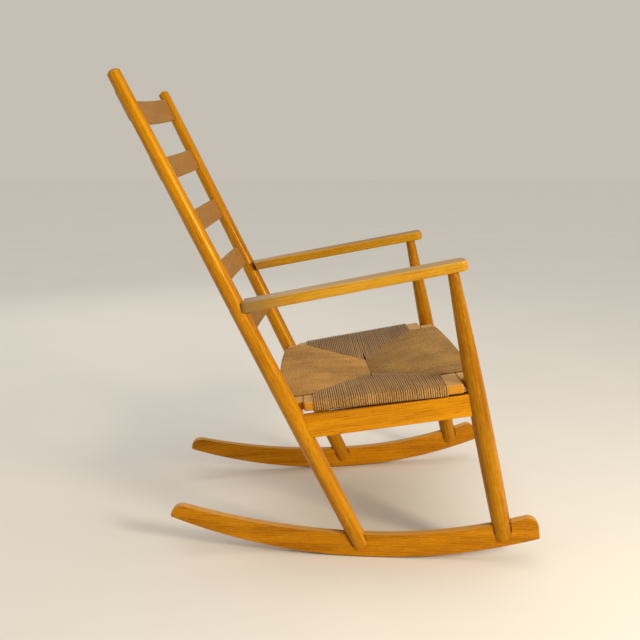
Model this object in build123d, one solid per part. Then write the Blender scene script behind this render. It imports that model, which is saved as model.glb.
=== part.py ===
"""Ladder-back rocking chair with open arms and a corded loose seat.

Frame of reference: +X forward, +Y to the sitter's left, +Z up.  The chair is built about the line on
which both rockers touch the floor (X = 0) and is moved, as the last step, so that the origin lies under
the middle of its bounding box.  Everything on the left side is mirrored in the XZ plane.  Millimetres
and degrees throughout.
"""
from build123d import *
from math import atan, copysign, cos, degrees, radians, sin, sqrt, tan
import os

# ---------------------------------------------------------------- driving dimensions
# Stance
ROCKER_TRACK = 516.6          # between the two rockers, middle to middle, where they touch the floor
TOE_OUT = 7.0                 # each rocker opens towards the front by this angle

# Rockers
ROCKER_THICKNESS = 20.0
ROCKER_DEPTH = 54.0           # height of the blade over the contact line
ROCKER_RADIUS = 1246.0        # rolling radius of the lower edge
ROCKER_TAIL_RADIUS = 1634.0   # upper edge behind the contact line, so that the tail gets thinner
ROCKER_REAR = 439.0           # contact line to rear tip, along the blade
ROCKER_FRONT = 381.0          # contact line to front tip, along the blade
ROCKER_END_RAKE = 8.0         # how far the top of each end is set back from its foot
ROCKER_TAIL_NOSE = 24.0       # rounding of the top corner at the rear
ROCKER_TOE_NOSE = 22.0        # rounding of the top corner at the front
ROCKER_TIP_EASE = 4.0         # rounding of the two lower corners
ROCKER_EDGE_EASE = 2.0        # eased long edges

# Fork joint: each leg straddles the rocker and is let into both of its faces
HOUSING_DEPTH = 2.0
HOUSING_FLOOR = 20.0          # rocker left below the end of the leg
FORK_CLEARANCE = 0.1

# Rear posts (turned); distances run up the axis from the fork
POST_FOOT_AT = -15.5          # axis of the fork along the blade, from the contact line
POST_LEAN = 25.7              # backwards
POST_SPLAY = 3.54             # outwards towards the top
POST_LENGTH = 1108.0
POST_FOOT_DIAMETER = 38.0
POST_TURNING = ((110.0, 39.0), (235.0, 39.2), (400.0, 38.2), (560.0, 36.0), (713.0, 33.0), (900.0, 29.9))
POST_TOP_DIAMETER = 26.5
POST_DOME = 6.0

# Front legs (turned)
LEG_FOOT_AT = 299.6
LEG_LEAN = 12.7
LEG_SPLAY = -1.13             # inwards towards the top
LEG_FOOT_DIAMETER = 40.0
LEG_TURNING = ((60.0, 41.6), (138.0, 42.4), (230.0, 42.0), (310.0, 40.6), (384.0, 37.8), (480.0, 31.5))
LEG_TOP_DIAMETER = 21.5       # at the underside of the arm
LEG_TENON_DIAMETER = 14.0
LEG_TENON_LENGTH = 15.0

# Arms
ARM_HEIGHT = 655.3            # middle of the board on the axis of the front leg
ARM_PITCH = 10.5              # rises to the front
ARM_THICKNESS = 22.0
ARM_WIDTH = 52.0
ARM_INSET = 4.0               # middle of the board inboard of the post and leg axes
ARM_FRONT_OVERHANG = 31.5     # beyond the axis of the front leg
ARM_HORN_REACH = 7.0          # end of the outer horn in front of the post's axis
ARM_FRONT_CORNER = 15.0
ARM_HORN_CORNER = 12.0
ARM_EDGE_EASE = 4.5
ARM_POST_CLEARANCE = 0.2

# Bolt that draws each arm against its post
BOLT_DIAMETER = 8.0
BOLT_HEAD_DIAMETER = 13.0
BOLT_HEAD_HEIGHT = 8.0
BOLT_HEAD_SUNK = 11.0         # seat of the head below the back of the post
BOLT_HEX_WIDTH = 6.0
BOLT_HEX_DEPTH = 4.0
BOLT_PAST_NUT = 10.0
BOLT_CLEARANCE = 0.2
NUT_DIAMETER = 14.0
NUT_LENGTH = 16.0
NUT_FROM_POST = 44.0          # barrel nut to the axis of the post
THREAD_CLEARANCE = 0.1

# Back slats
SLAT_COUNT = 5
SLAT_PITCH = 142.0
SLAT_TOP_FROM_END = 51.0      # middle of the crest slat below the top of the post
SLAT_HEIGHT = 55.0
CREST_HEIGHT = 59.0
SLAT_THICKNESS = 10.0
SLAT_BOW = 42.0               # middle of the slat behind its ends
SLAT_SETBACK = 3.0            # ends behind the post axes
SLAT_END_TO_AXIS = 3.0        # end of the slat short of the post axis
SLAT_EDGE_EASE = 3.0

# Seat platform: the aprons and cross rails carry the loose seat
SEAT_PITCH = 8.2              # rises to the front
APRON_TOP_AT_LEG = 389.0      # top of the aprons on the axis of the front leg
APRON_HEIGHT = 50.0
APRON_THICKNESS = 22.0
APRON_EDGE_EASE = 2.5
REAR_CROSS_SETBACK = 2.5      # rear cross rail behind the post's axis, clear of the aprons' ends
COPE_CLEARANCE = 0.15
TENON_THICKNESS = 9.0
TENON_HEIGHT = 34.0
TENON_TO_AXIS = 5.5           # end of the tenon short of the leg axis
TENON_CLEARANCE = 0.1
MORTISE_END_CLEARANCE = 0.5

# Loose seat frame, in the plane of the seat
CORD_DIAMETER = 3.2
RAIL_THICKNESS = 20.0
REAR_BLOCK = 35.8             # bare end of the rear rail, beyond the opening
OPENING_DEPTH = 284.0         # between the front and rear rails
OPENING_BEHIND_LEG = 58.3     # front of the opening behind the leg axis
FRONT_RAIL_CORNER = 8.0       # front edge at its ends, in front of the leg axis
FRONT_RAIL_BOW = 9.0
REAR_RAIL_CORNER = 6.5        # rear edge at its ends, behind the post axis
REAR_RAIL_BOW = 18.0
LEG_TO_SEAT = 3.2             # gap between the seat frame and the front legs
POST_TO_SEAT = 2.0            # gap between the seat frame and the rear posts
RAIL_END_TO_LEG = 7.0         # end of the front rail to the leg, sideways
RAIL_END_TO_POST = 5.5        # end of the rear rail to the post, sideways
SIDE_RAIL_PAST_LEG = 12.85    # outer edge of the side rail at its front, outboard of the leg's axis
SIDE_RAIL_INSIDE_POST = 10.15  # and at its rear, inboard of the post's axis
RAIL_CORNER = 6.0
RAIL_EDGE_EASE = 4.0

# Corded seat
SEAT_DISH = 22.0              # middle of the weave below its rim, on top
SEAT_SAG = 8.0                # and below its rim, underneath
SEAT_BRIDGE = 120.0           # left-to-right length of the bottom of the dish
SEAT_BRIDGE_WIDTH = 12.0
WEAVE_EDGE_EASE = 6.5
SOFT_CLEARANCE = 0.3          # between the weave and what it touches

# Dowels of the seat frame and the pins that locate it on the cross rails
DOWEL_DIAMETER = 8.0
DOWEL_LENGTH = 36.0
DOWEL_CLEARANCE = 0.1
DOWEL_FROM_EDGE = 7.0         # from the opening and from the end of the rear rail
PIN_DIAMETER = 8.0
PIN_LENGTH = 38.0
PIN_IN_RAIL = 14.0


# ---------------------------------------------------------------- frames of reference
TOE_DIRECTION = Vector(cos(radians(TOE_OUT)), sin(radians(TOE_OUT)), 0)
ROCKER_PLANE = Plane(
    origin=(0, ROCKER_TRACK / 2, 0),
    x_dir=TOE_DIRECTION,
    z_dir=(TOE_DIRECTION.Y, -TOE_DIRECTION.X, 0),
)


def lower_edge(along):
    """Height of the rocker's lower edge at a distance along the blade."""
    return ROCKER_RADIUS - sqrt(ROCKER_RADIUS**2 - along**2)


def upper_edge(along):
    """Height of the rocker's upper edge, before its ends are rounded."""
    if along < 0:
        return ROCKER_DEPTH + ROCKER_TAIL_RADIUS - sqrt(ROCKER_TAIL_RADIUS**2 - along**2)
    return ROCKER_RADIUS - sqrt((ROCKER_RADIUS - ROCKER_DEPTH)**2 - along**2)


def axis_plane(along, foot_diameter, lean, splay):
    """Plane with its origin in the middle of a leg's rounded end and its normal up the leg's axis."""
    height = lower_edge(along) + HOUSING_FLOOR + foot_diameter / 2
    origin = ROCKER_PLANE.from_local_coords((along, height, 0))
    direction = Vector(-tan(radians(lean)), tan(radians(splay)), 1).normalized()
    return Plane(origin=origin, x_dir=Vector(0, 1, 0).cross(direction), z_dir=direction)


POST_AXIS = axis_plane(POST_FOOT_AT, POST_FOOT_DIAMETER, POST_LEAN, POST_SPLAY)
LEG_AXIS = axis_plane(LEG_FOOT_AT, LEG_FOOT_DIAMETER, LEG_LEAN, LEG_SPLAY)


def rise_to(axis, plane):
    """Distance up a leg's axis to a plane."""
    return plane.z_dir.dot(plane.origin - axis.origin) / plane.z_dir.dot(axis.z_dir)


def crossing(axis, plane):
    """Point where a leg's axis passes through a plane."""
    return axis.origin + axis.z_dir * rise_to(axis, plane)


def pitched_plane(height, pitch):
    """Plane that rises to the front and meets the front leg's axis at a height."""
    point = LEG_AXIS.origin + LEG_AXIS.z_dir * ((height - LEG_AXIS.origin.Z) / LEG_AXIS.z_dir.Z)
    slope = radians(pitch)
    return Plane(
        origin=(point.X, 0, point.Z),
        x_dir=(cos(slope), 0, sin(slope)),
        z_dir=(-sin(slope), 0, cos(slope)),
    )


SEAT_PLANE = pitched_plane(APRON_TOP_AT_LEG, SEAT_PITCH)
ARM_LEVEL = pitched_plane(ARM_HEIGHT, ARM_PITCH)
ARM_UNDERSIDE = ARM_LEVEL.offset(-ARM_THICKNESS / 2)

POST_STATIONS = (
    (-POST_FOOT_DIAMETER / 2, POST_FOOT_DIAMETER),
    *POST_TURNING,
    (POST_LENGTH - POST_DOME, POST_TOP_DIAMETER),
)
LEG_STATIONS = (
    (-LEG_FOOT_DIAMETER / 2, LEG_FOOT_DIAMETER),
    *LEG_TURNING,
    (rise_to(LEG_AXIS, ARM_UNDERSIDE) + LEG_TOP_DIAMETER, LEG_TOP_DIAMETER),
)


def arc_radius(half_chord, bow):
    """Radius of an arc from half its chord and its bow."""
    return (half_chord**2 + bow**2) / (2 * bow)


def mirrored(part):
    """The twin of a left part, on the right."""
    return part.mirror(Plane.XZ)


def both_sides(part):
    """Small parts with their twins on the other side, as separate solids of one shape."""
    return Compound(children=[*part.solids(), *mirrored(part).solids()])


# ---------------------------------------------------------------- turned posts and legs
def radius_at(stations, distance):
    """Radius of a turned leg at a distance up its axis."""
    below = max(station for station in stations if station[0] <= distance)
    above = min(station for station in stations if station[0] > distance)
    share = (distance - below[0]) / (above[0] - below[0])
    return (below[1] + share * (above[1] - below[1])) / 2


def turned(axis, stations, dome=0.0, grow=0.0):
    """Solid of revolution about a leg's axis through its (distance, diameter) stations, domed or flat."""
    side = [Vector(diameter / 2 + grow, 0, at) for at, diameter in stations]
    foot = Vector(0, 0, side[0].Z)
    tip = Vector(0, 0, side[-1].Z + dome)
    if dome:
        cap = Edge.make_tangent_arc(tip, Vector(1, 0, 0), side[-1])
    else:
        cap = Edge.make_line(tip, side[-1])
    corners = [tip, foot, *side]
    outline = [Edge.make_line(start, end) for start, end in zip(corners, corners[1:])]
    return axis * revolve(Face(Wire([*outline, cap])), Axis.Z, 360)


def end_outline(axis, foot_diameter, width, grow=0.0):
    """Side view of a leg's rounded end, in the rocker's plane; above the round it is as wide as asked."""
    start = ROCKER_PLANE.to_local_coords(axis.origin)
    rise = ROCKER_PLANE.to_local_coords(axis.origin + axis.z_dir) - start
    lean = degrees(atan(rise.X / rise.Y))
    outline = Circle(foot_diameter / 2 + grow) + Pos(0, POST_LENGTH) * Rectangle(width, 2 * POST_LENGTH)
    return Pos(start.X, start.Y) * Rot(0, 0, -lean) * outline


def rocker_web(grow=0.0):
    """What is left of the blade between two housings; the fork of the leg fits over it."""
    thickness = ROCKER_THICKNESS - 2 * HOUSING_DEPTH + 2 * grow
    return extrude(ROCKER_PLANE * rocker_face(), thickness / 2, both=True)


def forked(leg, axis, foot_diameter):
    """Round the end of a leg in side view and slot it over the rocker."""
    outline = end_outline(axis, foot_diameter, 3 * foot_diameter)
    rounded = leg & extrude(ROCKER_PLANE * outline, POST_LENGTH, both=True)
    return rounded - rocker_web(FORK_CLEARANCE)


def leg_tenon(grow=0.0):
    """Round tenon of a front leg, which starts inside the leg and enters the arm."""
    inside = LEG_TOP_DIAMETER / 2
    base = Plane(origin=crossing(LEG_AXIS, ARM_UNDERSIDE), z_dir=LEG_AXIS.z_dir).offset(-inside)
    return base * extrude(Circle(LEG_TENON_DIAMETER / 2 + grow), inside + LEG_TENON_LENGTH + grow)


def make_front_leg():
    leg = forked(turned(LEG_AXIS, LEG_STATIONS), LEG_AXIS, LEG_FOOT_DIAMETER)
    above_arm = ARM_UNDERSIDE * extrude(Rectangle(2 * POST_LENGTH, 2 * POST_LENGTH), POST_LENGTH)
    leg = leg - above_arm + leg_tenon()
    return leg - tenon(APRON_FRONT, TENON_CLEARANCE) - tenon(FRONT_CROSS_END, TENON_CLEARANCE)


def make_rear_post():
    post = forked(turned(POST_AXIS, POST_STATIONS, POST_DOME), POST_AXIS, POST_FOOT_DIAMETER)
    post = post - tenon(APRON_REAR, TENON_CLEARANCE) - tenon(REAR_CROSS_END, TENON_CLEARANCE)
    for number in range(SLAT_COUNT):
        post -= make_slat(number, TENON_CLEARANCE)
    return post - bolt_space()


# ---------------------------------------------------------------- rockers
def rocker_face():
    """Outline of the blade in its own plane."""
    def top(along):
        return Vector(along, upper_edge(along))

    rear_low = Vector(-ROCKER_REAR, lower_edge(ROCKER_REAR))
    front_low = Vector(ROCKER_FRONT, lower_edge(ROCKER_FRONT))
    rear_high = top(ROCKER_END_RAKE - ROCKER_REAR)
    front_high = top(ROCKER_FRONT - ROCKER_END_RAKE)
    outline = Wire([
        Edge.make_three_point_arc(rear_low, Vector(0, 0), front_low),
        Edge.make_line(front_low, front_high),
        Edge.make_three_point_arc(front_high, top(front_high.X / 2), top(0)),
        Edge.make_three_point_arc(top(0), top(rear_high.X / 2), rear_high),
        Edge.make_line(rear_high, rear_low),
    ])
    face = Sketch() + Face(outline)
    for corner, radius in (
        (rear_high, ROCKER_TAIL_NOSE),
        (front_high, ROCKER_TOE_NOSE),
        (rear_low, ROCKER_TIP_EASE),
        (front_low, ROCKER_TIP_EASE),
    ):
        face = fillet(face.vertices().sort_by_distance(corner)[0], radius)
    return face


def make_rocker():
    blade = extrude(rocker_face(), ROCKER_THICKNESS / 2, both=True)
    cheeks = blade.faces().sort_by(Axis.Z)
    blade = ROCKER_PLANE * fillet(cheeks[0].edges() + cheeks[-1].edges(), ROCKER_EDGE_EASE)
    for axis, foot in ((POST_AXIS, POST_FOOT_DIAMETER), (LEG_AXIS, LEG_FOOT_DIAMETER)):
        outline = end_outline(axis, foot, foot + 2 * FORK_CLEARANCE, FORK_CLEARANCE)
        blade -= extrude(ROCKER_PLANE * outline, ROCKER_THICKNESS, both=True) - rocker_web()
    return blade


# ---------------------------------------------------------------- aprons and cross rails
APRON_MIDDLE = SEAT_PLANE.offset(-APRON_HEIGHT / 2)


def seat_coords(axis, plane=APRON_MIDDLE):
    """Place of a leg's axis in the plane of the seat, at a level parallel to it."""
    return SEAT_PLANE.to_local_coords(crossing(axis, plane))


def end_plane(place, towards):
    """Plane at one end of a board of the seat platform, with its X axis along the board, inwards."""
    origin = SEAT_PLANE.from_local_coords(place)
    inwards = SEAT_PLANE.from_local_coords(towards) - origin
    return Plane(origin=origin, x_dir=inwards.normalized(), z_dir=SEAT_PLANE.z_dir)


POST_AT_APRON = seat_coords(POST_AXIS)
LEG_AT_APRON = seat_coords(LEG_AXIS)
APRON_SPAN = (LEG_AT_APRON - POST_AT_APRON).length
APRON_REAR = end_plane(POST_AT_APRON, LEG_AT_APRON)
APRON_FRONT = end_plane(LEG_AT_APRON, POST_AT_APRON)
FRONT_CROSS_AT = LEG_AT_APRON.X
REAR_CROSS_AT = POST_AT_APRON.X - REAR_CROSS_SETBACK


def cross_end(along, axis_place):
    """Left end of a cross rail, level with a leg's axis."""
    return end_plane((along, axis_place.Y, axis_place.Z), (along, 0, axis_place.Z))


FRONT_CROSS_END = cross_end(FRONT_CROSS_AT, LEG_AT_APRON)
REAR_CROSS_END = cross_end(REAR_CROSS_AT, POST_AT_APRON)


def tenon(end, grow=0.0):
    """Tenon of an apron or a cross rail; it starts short of the leg's axis and ends inside the board."""
    near = TENON_TO_AXIS - (MORTISE_END_CLEARANCE if grow else 0)
    block = Box(
        LEG_FOOT_DIAMETER - near,
        TENON_THICKNESS + 2 * grow,
        TENON_HEIGHT + 2 * grow,
        align=(Align.MIN, Align.CENTER, Align.CENTER),
    )
    return end * Pos(near, 0, 0) * block


def eased_board(end, length):
    """Board on edge from one of its ends, with its four long edges eased."""
    board = Box(length, APRON_THICKNESS, APRON_HEIGHT, align=(Align.MIN, Align.CENTER, Align.CENTER))
    return end * fillet(board.edges().filter_by(Axis.X), APRON_EDGE_EASE)


def make_apron():
    board = eased_board(APRON_REAR, APRON_SPAN)
    board -= turned(POST_AXIS, POST_STATIONS, POST_DOME, COPE_CLEARANCE)
    board -= turned(LEG_AXIS, LEG_STATIONS, grow=COPE_CLEARANCE)
    return board + tenon(APRON_REAR) + tenon(APRON_FRONT)


def make_cross_rail(end, axis, stations):
    board = eased_board(end, 2 * end.origin.Y)
    leg = turned(axis, stations, grow=COPE_CLEARANCE)
    board = board - leg - mirrored(leg) + tenon(end) + mirrored(tenon(end))
    return board - locating_pins(DOWEL_CLEARANCE)


# ---------------------------------------------------------------- arms and their bolts
ARM_REAR = crossing(POST_AXIS, ARM_LEVEL)
ARM_FRONT = crossing(LEG_AXIS, ARM_LEVEL)
ARM_PLANE = Plane(origin=ARM_REAR, x_dir=(ARM_FRONT - ARM_REAR).normalized(), z_dir=ARM_LEVEL.z_dir)
POST_RADIUS_AT_ARM = radius_at(POST_STATIONS, rise_to(POST_AXIS, ARM_LEVEL))
POST_FRONT_AT_ARM = POST_RADIUS_AT_ARM / cos(radians(POST_LEAN - ARM_PITCH))


def make_arm():
    """Board from the rear post to past the front leg; its outer horn laps round the post."""
    tip = (ARM_FRONT - ARM_REAR).length + ARM_FRONT_OVERHANG
    outline = Pos((ARM_HORN_REACH + tip) / 2, -ARM_INSET) * Rectangle(tip - ARM_HORN_REACH, ARM_WIDTH)
    ends = outline.vertices()
    horn = ends.group_by(Axis.X)[0].sort_by(Axis.Y)[-1]
    outline = fillet(ends.group_by(Axis.X)[-1], ARM_FRONT_CORNER)
    outline = fillet(outline.vertices().sort_by_distance(horn)[0], ARM_HORN_CORNER)
    board = extrude(outline, ARM_THICKNESS / 2, both=True)
    rims = board.faces().sort_by(Axis.Z)[0].edges() + board.faces().sort_by(Axis.Z)[-1].edges()
    arm = ARM_PLANE * fillet(rims, ARM_EDGE_EASE)
    beside_post = Plane(origin=ARM_REAR, x_dir=POST_AXIS.x_dir, z_dir=POST_AXIS.z_dir)
    inboard = Box(2 * ARM_WIDTH, ARM_WIDTH, 4 * ARM_THICKNESS, align=(Align.MAX, Align.MAX, Align.CENTER))
    arm -= beside_post * Pos(POST_RADIUS_AT_ARM + ARM_POST_CLEARANCE, 0, 0) * inboard
    arm -= turned(POST_AXIS, POST_STATIONS, POST_DOME, ARM_POST_CLEARANCE)
    return arm - leg_tenon(TENON_CLEARANCE) - bolt_space() - nut_space()


def along_bolt(diameter, start, end):
    """Cylinder on the axis of the bolt, by distances in front of the post's axis."""
    return ARM_PLANE * Pos(start, 0, 0) * Rot(0, 90, 0) * extrude(Circle(diameter / 2), end - start)


HEAD_SEAT = BOLT_HEAD_SUNK - POST_FRONT_AT_ARM
BOLT_END = NUT_FROM_POST + BOLT_PAST_NUT


def make_bolt():
    bolt = along_bolt(BOLT_DIAMETER, HEAD_SEAT, BOLT_END)
    bolt += along_bolt(BOLT_HEAD_DIAMETER, HEAD_SEAT - BOLT_HEAD_HEIGHT, HEAD_SEAT)
    socket = extrude(RegularPolygon(BOLT_HEX_WIDTH / sqrt(3), 6), BOLT_HEX_DEPTH)
    return bolt - ARM_PLANE * Pos(HEAD_SEAT - BOLT_HEAD_HEIGHT, 0, 0) * Rot(0, 90, 0) * socket


def bolt_space():
    """Bore and counterbore for the bolt, out through the back of the post."""
    bore = along_bolt(BOLT_DIAMETER + 2 * BOLT_CLEARANCE, HEAD_SEAT, BOLT_END + MORTISE_END_CLEARANCE)
    return bore + along_bolt(BOLT_HEAD_DIAMETER + 2 * BOLT_CLEARANCE, -2 * POST_FRONT_AT_ARM, HEAD_SEAT)


def make_nut():
    """Barrel nut, upright in the arm."""
    barrel = ARM_PLANE * Pos(NUT_FROM_POST, 0, 0) * Cylinder(NUT_DIAMETER / 2, NUT_LENGTH)
    return barrel - along_bolt(BOLT_DIAMETER + 2 * THREAD_CLEARANCE, 0, BOLT_END)


def nut_space():
    """Hole for the barrel nut, open at the underside of the arm."""
    top = NUT_LENGTH / 2 + THREAD_CLEARANCE
    hole = extrude(Circle(NUT_DIAMETER / 2 + THREAD_CLEARANCE), -top - ARM_THICKNESS)
    return ARM_PLANE * Pos(NUT_FROM_POST, 0, top) * hole


# ---------------------------------------------------------------- back slats
BACK_DIRECTION = Vector(-sin(radians(POST_LEAN)), 0, cos(radians(POST_LEAN)))


def make_slat(number, grow=0.0):
    """Bowed slat, counted from the crest down; its ends enter the posts."""
    distance = POST_LENGTH - SLAT_TOP_FROM_END - number * SLAT_PITCH
    middle = POST_AXIS.origin + POST_AXIS.z_dir * distance
    section = Plane(origin=(middle.X, 0, middle.Z), x_dir=(0, 1, 0), z_dir=BACK_DIRECTION)
    chord = middle.Y - SLAT_END_TO_AXIS
    radius = arc_radius(chord, SLAT_BOW)
    end = chord + (MORTISE_END_CLEARANCE if grow else 0)
    height = (SLAT_HEIGHT if number else CREST_HEIGHT) + 2 * grow
    half = SLAT_THICKNESS / 2 + grow
    ring = Circle(radius + half) - Circle(radius - half)
    strip = Pos(0, SLAT_SETBACK + SLAT_BOW - radius) * ring
    strip &= Rectangle(2 * end, 2 * radius, align=(Align.CENTER, Align.MIN))
    slat = extrude(strip, height / 2, both=True)
    long_edges = slat.edges().filter_by(GeomType.CIRCLE)
    return section * fillet(long_edges, SLAT_EDGE_EASE + grow)


# ---------------------------------------------------------------- loose seat frame
RAIL_BASE = SOFT_CLEARANCE + CORD_DIAMETER + SOFT_CLEARANCE
RAIL_TOP = RAIL_BASE + RAIL_THICKNESS
OPENING_FRONT = -OPENING_BEHIND_LEG
OPENING_REAR = OPENING_FRONT - OPENING_DEPTH
LEG_RADIUS = radius_at(LEG_STATIONS, rise_to(LEG_AXIS, SEAT_PLANE))
POST_RADIUS = radius_at(POST_STATIONS, rise_to(POST_AXIS, SEAT_PLANE))
POST_PLACE = seat_coords(POST_AXIS, SEAT_PLANE)
LEG_PLACE = seat_coords(LEG_AXIS, SEAT_PLANE)
SIDE_RAIL_FRONT = -LEG_RADIUS - RAIL_TOP * tan(radians(LEG_LEAN - SEAT_PITCH)) - LEG_TO_SEAT
SIDE_RAIL_REAR = POST_PLACE.X + POST_RADIUS / cos(radians(POST_LEAN - SEAT_PITCH)) + POST_TO_SEAT
FRONT_RAIL_END = LEG_PLACE.Y - LEG_RADIUS - RAIL_END_TO_LEG
REAR_RAIL_END = POST_PLACE.Y - POST_RADIUS - RAIL_END_TO_POST
OPENING_HALF_WIDTH = REAR_RAIL_END - REAR_BLOCK
SEAT_EDGE_FRONT = LEG_PLACE.Y + SIDE_RAIL_PAST_LEG
SEAT_EDGE_REAR = POST_PLACE.Y - SIDE_RAIL_INSIDE_POST


def side_rail_outline():
    """Left side rail; its inner edge is square to the others, so that the opening is a rectangle."""
    outline = Sketch() + Face(Wire.make_polygon([
        (SIDE_RAIL_REAR, OPENING_HALF_WIDTH),
        (SIDE_RAIL_FRONT, OPENING_HALF_WIDTH),
        (SIDE_RAIL_FRONT, SEAT_EDGE_FRONT),
        (SIDE_RAIL_REAR, SEAT_EDGE_REAR),
    ]))
    outer = outline.vertices().sort_by(Axis.Y)[-2:]
    return fillet(outer, RAIL_CORNER)


def strip_across(start, end, half_width):
    """Rectangle between two distances along the seat, centred on it."""
    return Pos((start + end) / 2, 0) * Rectangle(abs(end - start), 2 * half_width)


def end_rail_outline(inner, notch, outer, bow, end):
    """Front or rear rail: notched at both ends for the side rails, its outer edge bowed."""
    radius = arc_radius(end, abs(bow))
    round_edge = Pos(outer + bow - copysign(radius, bow), 0) * Circle(radius)
    outline = strip_across(inner, notch, OPENING_HALF_WIDTH)
    outline += strip_across(notch, outer + bow, end) & round_edge
    corners = [outline.vertices().sort_by_distance((outer, side * end, 0))[0] for side in (-1, 1)]
    return fillet(corners, RAIL_CORNER)


FRONT_EDGE = FRONT_RAIL_CORNER + FRONT_RAIL_BOW
REAR_CORNER = POST_PLACE.X - REAR_RAIL_CORNER
REAR_EDGE = REAR_CORNER - REAR_RAIL_BOW
SIDE_MIDDLE = ((SIDE_RAIL_FRONT + SIDE_RAIL_REAR) / 2, (SEAT_EDGE_FRONT + SEAT_EDGE_REAR) / 2)


def front_rail_outline():
    return end_rail_outline(
        OPENING_FRONT, SIDE_RAIL_FRONT, FRONT_RAIL_CORNER, FRONT_RAIL_BOW, FRONT_RAIL_END
    )


def rear_rail_outline():
    return end_rail_outline(OPENING_REAR, SIDE_RAIL_REAR, REAR_CORNER, -REAR_RAIL_BOW, REAR_RAIL_END)


def upright(outline, base, height):
    """Solid that stands on a level of the seat, whichever way its outline is drawn."""
    return extrude(Pos(0, 0, base) * outline, height, dir=(0, 0, 1))


def eased_rims(solid, outer_points, ease):
    """Round the upper and lower edges nearest to some points on the outside of the seat."""
    ends = solid.faces().filter_by(Axis.Z).sort_by(Axis.Z)
    rims = [
        face.edges().sort_by_distance((*point, face.center().Z))[0]
        for face in (ends[0], ends[-1])
        for point in outer_points
    ]
    return fillet(rims, ease)


def seat_rail(outline, outer_point):
    """Flat rail, rounded for the cord along its outer edge."""
    board = eased_rims(upright(outline, RAIL_BASE, RAIL_THICKNESS), [outer_point], RAIL_EDGE_EASE)
    return SEAT_PLANE * board - frame_dowels(DOWEL_CLEARANCE) - locating_pins(DOWEL_CLEARANCE)


def frame_dowels(grow=0.0):
    """Dowels that join the ends of the side rails to the front and rear rails."""
    length = DOWEL_LENGTH + (2 * MORTISE_END_CLEARANCE if grow else 0)
    peg = Rot(0, 90, 0) * Cylinder(DOWEL_DIAMETER / 2 + grow, length)
    pegs = [
        Pos(joint, across, RAIL_BASE + RAIL_THICKNESS / 2) * peg
        for joint in (SIDE_RAIL_FRONT, SIDE_RAIL_REAR)
        for across in (OPENING_HALF_WIDTH + DOWEL_FROM_EDGE, REAR_RAIL_END - DOWEL_FROM_EDGE)
    ]
    return both_sides(SEAT_PLANE * Compound(children=pegs))


def locating_pins(grow=0.0):
    """Pins that stand in the cross rails and locate the loose seat."""
    spare = MORTISE_END_CLEARANCE if grow else 0
    across = (OPENING_HALF_WIDTH + REAR_RAIL_END) / 2
    peg = extrude(Circle(PIN_DIAMETER / 2 + grow), -PIN_LENGTH - 2 * spare)
    pegs = [
        Pos(along, across, RAIL_BASE + PIN_IN_RAIL + spare) * peg
        for along in (FRONT_CROSS_AT, REAR_CROSS_AT)
    ]
    return both_sides(SEAT_PLANE * Compound(children=pegs))


# ---------------------------------------------------------------- corded seat
def make_woven_seat():
    """Envelope weave: it wraps the four rails between the bare corners and dips in the middle."""
    wrap = CORD_DIAMETER + SOFT_CLEARANCE
    top = RAIL_TOP + wrap
    opening = strip_across(OPENING_REAR, OPENING_FRONT, OPENING_HALF_WIDTH)
    across = strip_across(OPENING_REAR, OPENING_FRONT, 2 * SEAT_EDGE_FRONT)
    along = strip_across(2 * OPENING_REAR, -OPENING_REAR, OPENING_HALF_WIDTH)
    side_wrap = around_rail(side_rail_outline(), wrap) & across
    plan = opening + side_wrap + mirrored(side_wrap)
    for outline in (front_rail_outline(), rear_rail_outline()):
        plan += around_rail(outline, wrap) & along
    weave = upright(plan, SOFT_CLEARANCE, top - SOFT_CLEARANCE)
    mid_u, mid_v = SIDE_MIDDLE
    outer_points = [(FRONT_EDGE, 0), (REAR_EDGE, 0), (mid_u, mid_v), (mid_u, -mid_v)]
    weave = eased_rims(weave, outer_points, WEAVE_EDGE_EASE)
    weave -= dip(opening, top, top - SEAT_DISH)
    weave += dip(opening, SOFT_CLEARANCE, SOFT_CLEARANCE - SEAT_SAG)
    side_room = rail_room(side_rail_outline())
    weave = weave - side_room - mirrored(side_room)
    return SEAT_PLANE * (weave - rail_room(front_rail_outline()) - rail_room(rear_rail_outline()))


def around_rail(outline, gap):
    """Outline of a rail with a gap all round it."""
    return offset(outline, gap, kind=Kind.INTERSECTION)


def rail_room(outline):
    """Room in the weave for a rail."""
    room = around_rail(outline, SOFT_CLEARANCE)
    return upright(room, RAIL_BASE - SOFT_CLEARANCE, RAIL_THICKNESS + 2 * SOFT_CLEARANCE)


def dip(opening, rim, bottom):
    """Hipped hollow under the opening, from the level of its rim down to a bridge in the middle."""
    middle = (OPENING_FRONT + OPENING_REAR) / 2
    bridge = Pos(middle, 0, bottom) * Rectangle(SEAT_BRIDGE_WIDTH, SEAT_BRIDGE)
    return loft([bridge.face(), (Pos(0, 0, rim) * opening).face()], ruled=True)


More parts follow.
